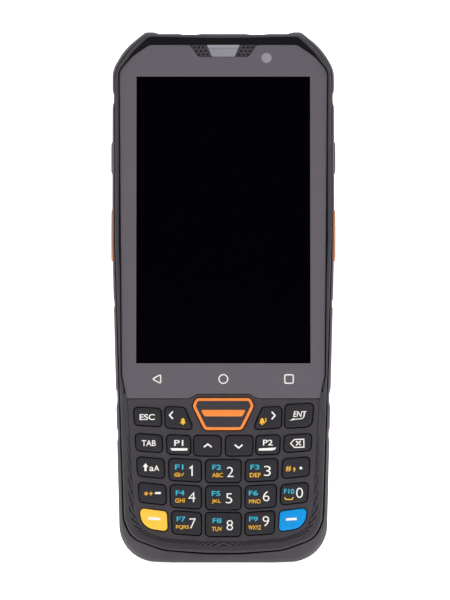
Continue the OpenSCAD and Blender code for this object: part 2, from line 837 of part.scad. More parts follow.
module scan_engine() color("darkslategray") difference() {
    plate(window_top - SCAN_WINDOW_T - ENGINE_L, window_top - SCAN_WINDOW_T)
        tile(SCAN_X - SCAN_HALF_W + 0.4, SCAN_X + SCAN_HALF_W - 0.4,
            scan_y - SCAN_HALF_H + 0.4, scan_y + SCAN_HALF_H - 0.4);
    for (lens = ENGINE_LENSES)
        translate([SCAN_X + lens[0], scan_y, window_top - 5]) cylinder(r = lens[1], h = 10);
}

// The rear camera and its flash behind one window: x, z and radius of each opening, the window's
// thickness, its half-width, and how far it reaches past the middles of the lens and the flash
WINDOW_T = 0.8;
CAMERA_LENSES = [[14, body_l - 24, 3.2], [14, body_l - 33, 1.5]];
WINDOW_HALF_W = 4.6;
WINDOW_REACH = [4.8, 3];

module camera_window_2d(grow) {
    round_tile(CAMERA_LENSES[0][0] - WINDOW_HALF_W - grow, CAMERA_LENSES[0][0] + WINDOW_HALF_W + grow,
        CAMERA_LENSES[1][1] - WINDOW_REACH[1] - grow, CAMERA_LENSES[0][1] + WINDOW_REACH[0] + grow, 2.6);
}

module camera_window() color("black") slab(back_y - WINDOW_T, back_y - 0.15) camera_window_2d(0);

module rear_camera() color("black") for (lens = CAMERA_LENSES)
    peg(lens[0], lens[1], lens[2], can_y, back_y - WINDOW_T);

// The loudspeaker, its half-width and half-height, and its holes in the back
SPEAKER_PLACE = [-14, body_l - 27];
SPEAKER_HALF = [6.5, 4.5];
SPEAKER_HOLE_R = 0.6;
SPEAKER_HOLE_STEP = 2;

function speaker_holes() = [
    for (column = [-2 : 2])
        for (row = [-1 : 1])
            [SPEAKER_PLACE[0] + column * SPEAKER_HOLE_STEP, SPEAKER_PLACE[1] + row * SPEAKER_HOLE_STEP]
];

// Charging contacts low on the back, and how far their collars reach past them
DOCK_X = [-8, -4, 0, 4, 8];
DOCK_Z = 11;
DOCK_R = 1.2;
DOCK_COLLAR = [0.8, 0.5];

module dock_contacts() color("gold") for (x = DOCK_X) {
    peg(x, DOCK_Z, DOCK_R, back_y - BACK_WALL, back_y - 0.1);
    peg(x, DOCK_Z, DOCK_R + DOCK_COLLAR[0], back_y - BACK_WALL - DOCK_COLLAR[1], back_y - BACK_WALL);
}

// The USB-C port in the lower end
usb_y = deck_y + 1.6;
USB_SHELL_T = 0.35;
USB_DEPTH = 7;
// Floor of the shell, and the tongue in it: half its share of the mouth's width and half its thickness
USB_FLOOR_T = 0.8;
USB_TONGUE = [0.38, 0.35];
// Half-width and half-height of the opening in the bumper, which lets a plug's grip in
USB_MOUTH = [7, 3.4];

module stadium_2d(w, h, centre_y) {
    round_tile(-w / 2, w / 2, centre_y - h / 2, centre_y + h / 2, h / 2 - 0.01);
}

module usb_opening(grow) {
    plate(bumper_foot_t - 1, bumper_foot_t + wall + 3)
        stadium_2d(usb_w + 2 * (USB_SHELL_T + grow), usb_h + 2 * (USB_SHELL_T + grow), usb_y);
}

module usb_port() color("silver") {
    plate(bumper_foot_t + 0.2, bumper_foot_t + USB_DEPTH)
        difference() {
            stadium_2d(usb_w + 2 * USB_SHELL_T, usb_h + 2 * USB_SHELL_T, usb_y);
            stadium_2d(usb_w, usb_h, usb_y);
        }
    plate(bumper_foot_t + USB_DEPTH, bumper_foot_t + USB_DEPTH + USB_FLOOR_T)
        stadium_2d(usb_w + 2 * USB_SHELL_T, usb_h + 2 * USB_SHELL_T, usb_y);
    plate(bumper_foot_t + 1.2, bumper_foot_t + USB_DEPTH)
        tile(-usb_w * USB_TONGUE[0], usb_w * USB_TONGUE[0], usb_y - USB_TONGUE[1], usb_y + USB_TONGUE[1]);
}

// ---- Side keys ----------------------------------------------------------------

side_key_y = seam_y + 1.2 + side_key_w / 2;
// Length and depth of a side switch
SWITCH_L = 4;
SWITCH_W = 2.4;
// How far a side key's flange reaches past its cap, the bevel of its cap, and its stem
SIDE_FLANGE = 0.6;
SIDE_BEVEL = 0.3;
STEM_L = 0.6;
STEM_HALF = [0.8, 1];

module side_key_2d(length, z, grow = 0) {
    round_tile(side_key_y - side_key_w / 2 - grow, side_key_y + side_key_w / 2 + grow,
        z - length / 2 - grow, z + length / 2 + grow, 1.4 + grow);
}

module side_openings() {
    side_slab(case_x(scan_key_z) - wall - 2, body_w) side_key_2d(scan_key_l, scan_key_z, play);
    side_slab(case_x(small_key_z) - wall - 2, body_w) side_key_2d(small_key_l, small_key_z, play);
}

// A key in the right side: cap, flange behind the wall, and the stem that reaches its switch
module side_key(length, z) {
    outer = side_x(z) + side_key_proud;
    inner = case_x(z) - wall - play;
    side_slab(outer - SIDE_BEVEL, outer) side_key_2d(length, z, -SIDE_BEVEL);
    side_slab(inner, outer - SIDE_BEVEL) side_key_2d(length, z);
    side_slab(inner - flange_t, inner) side_key_2d(length, z, SIDE_FLANGE);
    side_slab(inner - flange_t - STEM_L, inner - flange_t)
        tile(side_key_y - STEM_HALF[0], side_key_y + STEM_HALF[0], z - STEM_HALF[1], z + STEM_HALF[1]);
}

module right_scan_key() color("darkorange") side_key(scan_key_l, scan_key_z);

module left_scan_key() color("darkorange") mirror([1, 0, 0]) side_key(scan_key_l, scan_key_z);

module power_key() color("dimgray") side_key(small_key_l, small_key_z);

module volume_key() color("dimgray") mirror([1, 0, 0]) side_key(small_key_l, small_key_z);

// A switch behind each side key, standing on a strip of flexible board
module side_switches() color("silver") both_sides() for (z = [scan_key_z, small_key_z]) {
    stem_x = case_x(z) - wall - play - flange_t - STEM_L;
    face_x = stem_x - side_travel - play / 2;
    side_slab(board_half_w + 0.3, face_x)
        tile(side_key_y - SWITCH_W / 2, side_key_y + SWITCH_W / 2, z - SWITCH_L / 2, z + SWITCH_L / 2);
}

// ---- Battery ------------------------------------------------------------------

// Contacts between the battery and the deck, and half their width and length
CONTACT_X = [-4.5, -1.5, 1.5, 4.5];
CONTACT_HALF = [0.6, 1.5];
contact_z = battery_z + 4;

module contact_blades_2d(grow = 0) {
    for (x = CONTACT_X)
        tile(x - CONTACT_HALF[0] - grow, x + CONTACT_HALF[0] + grow,
            contact_z - CONTACT_HALF[1] - grow, contact_z + CONTACT_HALF[1] + grow);
}

module battery_contacts() color("gold") slab(deck_y - 0.2, battery_y - seat) contact_blades_2d();

module battery_pack() color("darkslategray") slab(battery_y, cover_y) bay_2d();

// Bevel of the cover's edge
COVER_BEVEL = 0.5;

module battery_cover() color("dimgray") {
    slab(cover_y, back_y - COVER_BEVEL) cover_2d();
    slab(back_y - COVER_BEVEL, back_y) cover_2d(-COVER_BEVEL);
}

// The latch above the battery cover: half-width, height and thickness, how far it lies under the
// back, half-width and half-height of its stem, and the thickness and reach of the foot behind it
LATCH_HALF_W = 7;
LATCH_H = 5;
LATCH_T = 1;
LATCH_SINK = 0.1;
LATCH_STEM = [2.5, 1.5];
LATCH_FOOT = [0.8, 2];
latch_z = battery_z + battery_l + cover_lap + play + bay_wall + 1;
latch_y = back_y - LATCH_T - LATCH_SINK;

module latch_pocket_2d() {
    round_tile(-LATCH_HALF_W - play, LATCH_HALF_W + play,
        latch_z - play, latch_z + LATCH_H + latch_travel + play, 1.3);
}

module latch_slot_2d() {
    middle = latch_z + LATCH_H / 2;
    tile(-LATCH_STEM[0] - play, LATCH_STEM[0] + play,
        middle - LATCH_STEM[1] - play, middle + LATCH_STEM[1] + latch_travel + play);
}

module battery_latch() color("black") {
    middle = latch_z + LATCH_H / 2;
    inside_y = back_y - BACK_WALL - play;
    slab(latch_y, back_y - LATCH_SINK) round_tile(-LATCH_HALF_W, LATCH_HALF_W, latch_z, latch_z + LATCH_H, 1);
    slab(inside_y, latch_y) tile(-LATCH_STEM[0], LATCH_STEM[0], middle - LATCH_STEM[1], middle + LATCH_STEM[1]);
    slab(inside_y - LATCH_FOOT[0], inside_y)
        tile(-LATCH_STEM[0] - LATCH_FOOT[1], LATCH_STEM[0] + LATCH_FOOT[1],
            middle - LATCH_STEM[1], middle + LATCH_STEM[1]);
}

// ---- The assembly -------------------------------------------------------------

front_housing();
rear_housing();
top_bumper();
bottom_bumper();
side_bumpers();
gasket();
cover_glass();
display_module();
mid_frame();
ear_grilles();
indicator_light();
front_camera();
keypad_mat();
key_domes();
keypad_board();
main_board();
shield_cans();
speakers();
scan_engine();
scan_window();
rear_camera();
camera_window();
battery_pack();
battery_contacts();
battery_cover();
battery_latch();
usb_port();
dock_contacts();
side_switches();
housing_screws();
left_scan_key();
right_scan_key();
volume_key();
power_key();
key_scan();
key_left();
key_right();
for (key = KEYS) plain_key(key[0]);
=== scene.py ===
"""Looks of a rugged handheld data terminal, built as a Blender add-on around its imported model.

Shapes are worked out in millimetres as numpy arrays and become meshes in metres. X runs across the
terminal, Z up its length, and the front faces -Y.
"""
import json
import math

import bpy
import numpy as np
from bpy.props import FloatProperty, FloatVectorProperty, PointerProperty
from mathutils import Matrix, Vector


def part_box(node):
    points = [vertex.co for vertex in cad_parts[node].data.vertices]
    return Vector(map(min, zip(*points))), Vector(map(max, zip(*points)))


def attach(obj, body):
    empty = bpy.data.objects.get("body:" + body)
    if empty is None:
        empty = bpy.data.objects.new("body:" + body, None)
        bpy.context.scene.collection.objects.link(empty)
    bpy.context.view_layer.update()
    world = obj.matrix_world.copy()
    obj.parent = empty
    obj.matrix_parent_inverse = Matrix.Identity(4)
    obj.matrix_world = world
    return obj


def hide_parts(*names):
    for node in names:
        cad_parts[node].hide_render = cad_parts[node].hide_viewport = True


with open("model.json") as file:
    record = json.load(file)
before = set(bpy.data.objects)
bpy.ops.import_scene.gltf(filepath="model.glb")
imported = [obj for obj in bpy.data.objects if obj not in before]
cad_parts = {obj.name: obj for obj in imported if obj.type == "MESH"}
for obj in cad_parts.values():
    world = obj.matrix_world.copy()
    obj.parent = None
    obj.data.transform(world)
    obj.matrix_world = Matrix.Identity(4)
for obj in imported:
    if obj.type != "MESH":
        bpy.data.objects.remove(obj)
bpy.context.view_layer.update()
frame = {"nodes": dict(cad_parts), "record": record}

bl_info = {
    "name": "Rugged data terminal",
    "version": (1, 0, 0),
    "blender": (4, 5, 0),
    "location": "View3D > Sidebar > Terminal",
    "description": "Builds the shells, keys, legends, glass and studio of a handheld data terminal",
    "category": "Object",
}

# ---- Sizes taken from the frame, in millimetres --------------------------------------------------

MM = 0.001


def low(node):
    """Lowest corner of a CAD node, in millimetres."""
    return np.array(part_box(node)[0]) / MM


def high(node):
    """Highest corner of a CAD node, in millimetres."""
    return np.array(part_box(node)[1]) / MM


BODY_L = high("top_bumper")[2]
BODY_HALF_W = high("side_bumpers")[0]
CASE_HALF_W = high("front_housing")[0]
CASE_TOP = high("front_housing")[2]
FRONT_Y = low("front_housing")[1]
SEAM_Y = high("front_housing")[1]
BACK_Y = high("rear_housing")[1]
GLASS_Y = low("cover_glass")[1]
GLASS_BACK_Y = high("cover_glass")[1]
GLASS_TOP = high("cover_glass")[2]
KEYPAD_L = low("cover_glass")[2]
BUMPER_Y = low("side_bumpers")[1], high("side_bumpers")[1]
KEY_Y = low("key_1")[1]
DISPLAY_LOW = low("display_module")
DISPLAY_HIGH = high("display_module")
COVER_LOW = low("battery_cover")
COVER_HIGH = high("battery_cover")
PACK_LOW = low("battery_pack")
PACK_HIGH = high("battery_pack")

# ---- Outlines of the front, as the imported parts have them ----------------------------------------

BUMPER_T = BODY_HALF_W - CASE_HALF_W
FOOT_T = low("front_housing")[2]
TOP_T = BODY_L - CASE_TOP
# How much narrower the body is at its lower end, and the height where the taper begins
TAPER = 5.0
TAPER_Z = 95.0
SHOULDER_Z = BODY_L - 11.5
# Rim beside the glass at its lower and upper end
RIM_LOW_W = 0.7
RIM_W = 1.2
# Space round parts that stay together and parts that move
SEAT = 0.1
PLAY = 0.3
# The keypad surface and the floor behind it
DECK_Y = FRONT_Y + 0.65
FLOOR_Y = (DECK_Y + 1.05, DECK_Y + 1.95)
WALL = 1.5


def side_x(z):
    """Half-width of the bumpers at height z."""
    return BODY_HALF_W - TAPER / 2 * max(0.0, 1 - z / TAPER_Z)


def case_x(z):
    """Half-width of the housings at height z."""
    return side_x(z) - BUMPER_T


def glass_x(z):
    """Half-width of the cover glass at height z."""
    return case_x(z) - RIM_LOW_W - (RIM_W - RIM_LOW_W) * min(1.0, z / SHOULDER_Z)


# Right halves of the outlines, from the bottom to the top: x, z and corner radius
BUMPER_HALF = [
    (15, 0, 0), (side_x(0), 0.6, 11), (side_x(TAPER_Z), TAPER_Z, 0), (side_x(SHOULDER_Z), SHOULDER_Z, 8),
    (BODY_HALF_W - 3.5, BODY_L - 5.1, 20), (BODY_HALF_W - 9.9, BODY_L, 1.8),
    (BODY_HALF_W - 12.2, BODY_L, 1.4), (BODY_HALF_W - 13.9, BODY_L - 0.5, 2),
    (13.5, BODY_L - 0.5, 3), (11.5, BODY_L - 0.85, 2),
    (8.6, BODY_L - 0.85, 2), (6.6, BODY_L - 0.5, 3),
]
# Bowed lower edges: the housings' and the keypad's
CASE_LOW = [(5, FOOT_T, 40), (17.5, FOOT_T + 0.9, 14), (27.0, FOOT_T + 4.3, 7), (29.4, FOOT_T + 9.8, 9)]
KEYPAD_LOW = [(5, 6.35, 40), (17.5, 7.2, 14), (24.3, 9.6, 6), (26.6, 15.0, 9)]
CASE_HALF = CASE_LOW + [
    (case_x(TAPER_Z), TAPER_Z, 0), (case_x(SHOULDER_Z), SHOULDER_Z - 0.4, 8),
    (case_x(SHOULDER_Z) - 4.2, BODY_L - 5.1 - TOP_T + 0.3, 18), (BODY_HALF_W - 10.1, CASE_TOP, 3),
]
GLASS_TOP_HALF = [(BODY_HALF_W - 5.8, GLASS_TOP - 3.6, 12), (BODY_HALF_W - 11.2, GLASS_TOP, 2.5)]
GLASS_LOW_HALF = [
    (7.8, KEYPAD_L + 1.35, 0.8), (10.2, KEYPAD_L, 0.8), (glass_x(KEYPAD_L) - 1.5, KEYPAD_L, 0.4),
    (glass_x(KEYPAD_L), KEYPAD_L + 6.6, 2), (glass_x(SHOULDER_Z), GLASS_TOP - 7.9, 4),
] + GLASS_TOP_HALF
GLASS_HALF = GLASS_LOW_HALF + [(10.1, GLASS_TOP, 0.6), (7.4, GLASS_TOP - 3.6, 1.2)]
# Edge where the rim ends: round the keypad and on round the glass
INNER_HALF = KEYPAD_LOW + [
    (glass_x(KEYPAD_L) - 1.6, KEYPAD_L - 0.2, 1), (glass_x(KEYPAD_L) + SEAT, KEYPAD_L + 6.6, 2),
    (glass_x(SHOULDER_Z) + SEAT, GLASS_TOP - 7.9, 4),
] + [(x, z + SEAT, r) for x, z, r in GLASS_TOP_HALF]
DECK_HALF = KEYPAD_LOW + [
    (glass_x(KEYPAD_L) - 1.6, KEYPAD_L - SEAT, 0.5), (10.2 + SEAT, KEYPAD_L - SEAT, 0.8),
    (7.8 + SEAT, KEYPAD_L + 1.35 - SEAT, 0.8),
]

# ---- The keypad ----------------------------------------------------------------------------------

FIRST_ROW_Z = 42.6
ROW_DROP = (0, 8, 15.5, 23.4, 31.3)
ROW_H = (6.2, 5.9, 6.6, 6.8, 6.9)
# Corner radius of the keys, and of the outer lower corner of the two coloured ones
KEY_R = 1.1
COLOUR_KEY_R = 4.6
# Name, row, place across and width of each plain key
KEYS = [
    ("key_esc", 0, -22.4, 7.9), ("key_enter", 0, 22.4, 8.1),
    ("key_tab", 1, -22.5, 7.9), ("key_p1", 1, -13.5, 7.1), ("key_up", 1, -4.8, 8.1),
    ("key_down", 1, 4.8, 8.1), ("key_p2", 1, 13.5, 7.1), ("key_backspace", 1, 22.5, 8.1),
    ("key_shift", 2, -22.4, 8.2), ("key_1", 2, -11.8, 9.8), ("key_2", 2, 0, 10.8),
    ("key_3", 2, 11.8, 9.8), ("key_hash", 2, 22.4, 8.2),
    ("key_star", 3, -22.4, 8.4), ("key_4", 3, -11.8, 9.6), ("key_5", 3, 0, 11),
    ("key_6", 3, 11.8, 9.6), ("key_0", 3, 22.4, 8.4),
    ("key_yellow", 4, -22.4, 8.6), ("key_7", 4, -11.8, 9.3), ("key_8", 4, 0, 11.3),
    ("key_9", 4, 11.8, 9.3), ("key_blue", 4, 22.4, 8.6),
]
SCAN_KEY_HALF = [(5.6, 39.3, 1.6), (9.1, 46.4, 1.2), (8.1, 48.8, 1.4)]
ARROW_KEY = [(8.9, 39.5, 0.9), (17.1, 40.1, 1.1), (17.3, 46.2, 1.1), (11.6, 45.9, 0.9)]
SCAN_RING_W = 0.86


# ---- Outline maths -------------------------------------------------------------------------------

def unit(vectors):
    """Each vector divided by its length."""
    return vectors / np.maximum(np.linalg.norm(vectors, axis=-1, keepdims=True), 1e-12)


def anticlockwise(points):
    """The outline turned so that its area by the shoelace formula is positive."""
    x, z = points.T
    area = (x * np.roll(z, -1) - np.roll(x, -1) * z).sum()
    return points if area > 0 else points[::-1]


def mirrored(half):
    """Whole outline from its right half, listed from the bottom to the top."""
    return list(half) + [(-x, z, r) for x, z, r in reversed(half)]


def rounded(points, steps=6):
    """Closed outline through corners (x, z, radius), each replaced by the arc that touches both its sides.

    The arc's centre lies on the corner's bisector at radius / sin(half the corner's angle), and the
    arc turns through a straight angle less the corner's own angle.
    """
    corners = np.array(points, float)
    here = corners[:, :2]
    to_last = unit(np.roll(here, 1, 0) - here)
    to_next = unit(np.roll(here, -1, 0) - here)
    half = np.arccos(np.clip((to_last * to_next).sum(1), -1, 1)) / 2
    bisector = unit(to_last + to_next)
    radius = corners[:, 2]
    centre = here + bisector * (radius / np.sin(half))[:, None]
    start = np.arctan2(-bisector[:, 1], -bisector[:, 0])
    cross = to_last[:, 0] * to_next[:, 1] - to_last[:, 1] * to_next[:, 0]
    turn = np.where(cross < 0, 1, -1) * (math.pi / 2 - half)
    angle = start[:, None] + turn[:, None] * np.linspace(-1, 1, steps + 1)
    arcs = centre[:, None] + radius[:, None, None] * np.stack([np.cos(angle), np.sin(angle)], -1)
    outline = arcs.reshape(-1, 2)
    apart = np.linalg.norm(outline - np.roll(outline, 1, 0), axis=1) > 1e-6
    return anticlockwise(outline[apart])


def tile(x0, x1, z0, z1, r, steps=6):
    """Rectangle with rounded corners."""
    return rounded([(x0, z0, r), (x1, z0, r), (x1, z1, r), (x0, z1, r)], steps)


def seat_of(lowest, highest, gap, r, steps=6):
    """Rounded rectangle round a box's X and Z, with a gap on every side."""
    return tile(lowest[0] - gap, highest[0] + gap, lowest[2] - gap, highest[2] + gap, r, steps)


def circle(x, z, r, count=48):
    """Round outline: the cosine and sine of an even angle."""
    angle = np.linspace(0, 2 * math.pi, count, endpoint=False)
    return np.stack([x + r * np.cos(angle), z + r * np.sin(angle)], 1)


def grown(outline, distance):
    """The outline moved outwards: each point goes along the bisector of its sides, by the distance
    over the cosine of half the turn there."""
    along = unit(np.roll(outline, -1, 0) - outline)
    before = np.roll(along, 1, 0)
    normal = np.stack([along[:, 1], -along[:, 0]], 1) + np.stack([before[:, 1], -before[:, 0]], 1)
    normal = unit(normal)
    square = np.stack([along[:, 1], -along[:, 0]], 1)
    return outline + normal * distance / np.maximum((normal * square).sum(1), 0.5)[:, None]


def keypad_point(u, v):
    """Bends the keypad's straight grid: columns lean in downwards, and rows rise with the square of
    the distance from the middle."""
    x = u * (1 - 0.00266 * v)
    return x, FIRST_ROW_Z - v + (0.0012 + 0.000072 * v) * x * x


def key_outline(name, row, u, width):
    """The bent rectangle of one plain key."""
    enter = name == "key_enter"
    v = ROW_DROP[row] - (0.35 if enter else 0)
    half_h = (8.2 if enter else ROW_H[row]) * (1 - 0.00028 * u * u) / 2
    radii = [KEY_R] * 4
    if name == "key_yellow":
        radii[3] = COLOUR_KEY_R
    if name == "key_blue":
        radii[2] = COLOUR_KEY_R
    if enter:
        radii[2] = 2 * KEY_R
    signs = ((-1, -1), (1, -1), (1, 1), (-1, 1))
    corners = [keypad_point(u + su * width / 2, v + sv * half_h) for su, sv in signs]
    return rounded([(x, z, r) for (x, z), r in zip(corners, radii)], 7)


def all_key_outlines():
    """Name and outline of every key of the keypad."""
    outlines = {key[0]: key_outline(*key) for key in KEYS}
    outlines["key_scan"] = rounded(mirrored(SCAN_KEY_HALF), 7)
    outlines["key_right"] = rounded(ARROW_KEY, 7)
    outlines["key_left"] = anticlockwise(outlines["key_right"] * (-1, 1))
    return outlines


# ---- Solids: a solid is (points, faces) ----------------------------------------------------------

def facing_out(points, faces):
    """Turns all faces round if the solid's volume, summed over fans of its faces, is negative."""
    volume = 0.0
    quads = np.array([f for f in faces if len(f) == 4])
    for a, b, c in ((0, 1, 2), (0, 2, 3)):
        volume += (points[quads[:, a]] * np.cross(points[quads[:, b]], points[quads[:, c]])).sum()
    for face in faces:
        if len(face) != 4:
            p = points[face]
            volume += (p[0] * np.cross(p[1:-1], p[2:])).sum()
    return (points, faces) if volume > 0 else (points, [f[::-1] for f in faces])


def loft(rings, closed=False):
    """Solid through a row of closed rings of equal length: quads between neighbours, and either a
    flat face on each end or, when closed, quads from the last ring back to the first."""
    rings = np.asarray(rings, float)
    count, size = rings.shape[:2]
    index = np.arange(count * size).reshape(count, size)
    after = np.roll(index, -1, 0) if closed else index[1:]
    before = index if closed else index[:-1]
    quads = np.stack([before, np.roll(before, -1, 1), np.roll(after, -1, 1), after], -1).reshape(-1, 4)
    faces = quads.tolist()
    if not closed:
        faces += [index[0][::-1].tolist(), index[-1].tolist()]
    return facing_out(rings.reshape(-1, 3), faces)


def together(*solids):
    """Several separate solids as one mesh."""
    points, faces, start = [], [], 0
    for solid_points, solid_faces in solids:
        points.append(solid_points)
        faces += [[start + i for i in face] for face in solid_faces]
        start += len(solid_points)
    return np.concatenate(points), faces


# Which two axes an outline lies in, and which one a solid runs along
PLANES = {"y": (0, 2, 1), "x": (1, 2, 0), "z": (0, 1, 2)}


def ring(outline, depth, axis="y"):
    """An outline placed in space at one depth along an axis."""
    a, b, c = PLANES[axis]
    points = np.empty((len(outline), 3))
    points[:, a], points[:, b], points[:, c] = outline[:, 0], outline[:, 1], depth
    return points


def slab(outline, start, end, axis="y"):
    """A straight solid with square edges."""
    return loft([ring(outline, start, axis), ring(outline, end, axis)])


def quarter(steps):
    """How far a quarter circle of radius 1 lies in and how far down, from its top to its side."""
    angle = np.linspace(0, math.pi / 2, steps + 1)
    return np.stack([1 - np.sin(angle), 1 - np.cos(angle)], 1)


def pillow(outline, face, back, radius, axis="y", steps=5, crown=0.0, back_radius=0.0):
    """A solid whose face edge is a quarter circle and whose face is a shallow dome.

    The outline is drawn in by radius times (1 - sin a) while it goes back by radius times (1 - cos a).
    Beyond the edge the face rises by the crown times one less the square of the share left to the middle.
    """
    way = 1.0 if back > face else -1.0
    rings = []
    if back_radius:
        rings += [ring(grown(outline, -back_radius * i), back - way * back_radius * d, axis)
                  for i, d in quarter(3)]
    else:
        rings.append(ring(outline, back, axis))
    rings += [ring(grown(outline, -radius * i), face + way * (radius * d + crown), axis)
              for i, d in quarter(steps)[::-1]]
    if crown:
        edge = grown(outline, -radius)
        middle = edge.mean(0)
        for left in (0.85, 0.65, 0.45, 0.25, 0.08):
            rings.append(ring(middle + (edge - middle) * left, face + way * crown * left ** 2, axis))
    return loft(rings)


def well(outline, lip, face, end, gap):
    """A cutter for a hole with a rounded lip: wide in front of the face, then a quarter circle of
    the lip's radius down to the gap round the outline, and straight on to the end."""
    rings = [ring(grown(outline, gap + lip), face - 3), ring(grown(outline, gap + lip), face)]
    rings += [ring(grown(outline, gap + lip * i), face + lip * (1 - math.sqrt(max(0.0, 1 - (1 - i) ** 2))))
              for i in (0.75, 0.5, 0.25)]
    rings += [ring(grown(outline, gap), face + lip), ring(grown(outline, gap), end)]
    return loft(rings)


def turned(profile, x, z, count=48):
    """A round solid about a line along Y: the profile's (radius, y) pairs carried round a circle."""
    return loft([ring(circle(x, z, r, count), y) for r, y in profile])


def tape(path, width, y0, y1, closed=False):
    """A flat strip along a path: at each point the side direction is the mean of its two
    neighbours' normals, longer by one over the cosine of half the bend."""
    path = np.array(path, float)
    along = unit(np.roll(path, -1, 0) - path)
    before = np.roll(along, 1, 0)
    if not closed:
        along[-1] = before[-1]
        before[0] = along[0]
    side = np.stack([along[:, 1], -along[:, 0]], 1)
    mean = unit(side + np.stack([before[:, 1], -before[:, 0]], 1))
    reach = (mean * (width / 2) / np.maximum((mean * side).sum(1), 0.4)[:, None])[:, None]
    sign = np.array([1, 1, -1, -1])[None, :, None]
    flat = path[:, None] + reach * sign
    sections = np.empty((len(path), 4, 3))
    sections[..., 0], sections[..., 2] = flat[..., 0], flat[..., 1]
    sections[..., 1] = np.array([y0, y1, y1, y0])
    return loft(sections, closed)


# ---- Rings round the body ------------------------------------------------------------------------

# The spine that rays start from, so that they cross the rim squarely at the sides and the corners
SPINE = (22.0, 138.5)


def spine_place(points):
    """Place of points along the right side: the height beside the spine, and past its ends the
    angle about the end times a length."""
    x, z = points.T
    z_end = np.clip(z, *SPINE)
    angle = np.arctan2(z - z_end, np.maximum(x, 1e-9))
    return z_end + 20 * angle


def right_side(half, count=3000):
    """The right half of an outline as an even row of points, from the bottom centre to the top centre."""
    outline = rounded(mirrored(half), 12)
    order = np.argsort(spine_place(outline[outline[:, 0] > 1e-6]))
    right = outline[outline[:, 0] > 1e-6][order]
    right = np.vstack([[0, right[0, 1]], right, [0, right[-1, 1]]])
    travelled = np.concatenate([[0], np.cumsum(np.linalg.norm(np.diff(right, axis=0), axis=1))])
    even = np.linspace(0, travelled[-1], count)
    return np.stack([np.interp(even, travelled, right[:, i]) for i in (0, 1)], 1), even


def at_places(half, places):
    """Points of an outline's right side where the spine's rays at the given places meet it."""
    right, _ = right_side(half)
    own = spine_place(right)
    points = np.stack([np.interp(places, own, right[:, i]) for i in (0, 1)], 1)
    return points


def whole_round(right):
    """A closed ring from its right side, whose first and last points lie on the middle line."""
    left = right[-2:0:-1].copy()
    left[:, 0] *= -1
    return np.vstack([right, left])


def both_halves(flags):
    """Flags for a closed ring from those of its right side."""
    return np.concatenate([flags, flags[-2:0:-1]])


def smooth_step(low_end, high_end, value):
    """0 below the low end, 1 above the high end, and an S between them."""
    t = np.clip((value - low_end) / (high_end - low_end), 0, 1)
    return t * t * (3 - 2 * t)


# ---- Meshes --------------------------------------------------------------------------------------

SMOOTH_ANGLE = math.radians(32)


def object_of(name, solid):
    """A new object in the scene whose mesh is the solid, in metres."""
    points, faces = solid
    mesh = bpy.data.meshes.new(name)
    mesh.from_pydata((points * MM).tolist(), [], faces)
    mesh.update()
    obj = bpy.data.objects.new(name, mesh)
    bpy.context.scene.collection.objects.link(obj)
    return obj


def bake_modifiers(obj):
    """Replaces the object's mesh with what its modifiers make of it."""
    bpy.context.view_layer.update()
    done = bpy.data.meshes.new_from_object(obj.evaluated_get(bpy.context.evaluated_depsgraph_get()))
    old = obj.data
    obj.modifiers.clear()
    obj.data = done
    bpy.data.meshes.remove(old)
    return obj


def combine(obj, solid, operation="DIFFERENCE"):
    """Cuts a solid out of an object, or joins it on, or keeps what they share."""
    tool = object_of("tool", solid)
    change = obj.modifiers.new("change", "BOOLEAN")
    change.operation = operation
    change.solver = "MANIFOLD"
    change.object = tool
    bake_modifiers(obj)
    if not len(obj.data.polygons):
        raise RuntimeError(f"nothing is left of {obj.name}")
    bpy.data.objects.remove(tool)
    return obj


def finished(obj, material, body, stands_for=(), angle=SMOOTH_ANGLE):
    """Smooths a piece, gives it its material, ties it to its body, and hides the CAD nodes that it stands
    for.
    """
    mesh = obj.data
    mesh.polygons.foreach_set("use_smooth", np.ones(len(mesh.polygons), bool))
    mesh.set_sharp_from_angle(angle=angle)
    if material is not None:
        mesh.materials.clear()
        mesh.materials.append(material)
    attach(obj, body)
    if stands_for:
        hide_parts(*stands_for)
    return obj


def dress(obj, finishes, paint=None):
    """Sets an object's materials in order, keeping each face's choice, or taking it from paint for
    the first faces; faces that point past the end get the first."""
    mesh = obj.data
    index = np.zeros(len(mesh.polygons), np.int32)
    if paint is None:
        mesh.polygons.foreach_get("material_index", index)
    else:
        index[:len(paint)] = paint
    mesh.materials.clear()
    for finish in finishes:
        mesh.materials.append(finish)
    mesh.polygons.foreach_set("material_index", np.where(index < len(finishes), index, 0).astype(np.int32))


def evened(obj):
    """Lets large flat faces set the shading beside small rounded ones."""
    modifier = obj.modifiers.new("even_shading", "WEIGHTED_NORMAL")
    modifier.keep_sharp = True
    return obj


# ---- Materials -----------------------------------------------------------------------------------

def srgb(red, green, blue):
    """Linear colour of a screen colour given from 0 to 255."""
    channels = np.array([red, green, blue]) / 255
    linear = np.where(channels <= 0.04045, channels / 12.92, ((channels + 0.055) / 1.055) ** 2.4)
    return tuple(float(c) for c in linear)


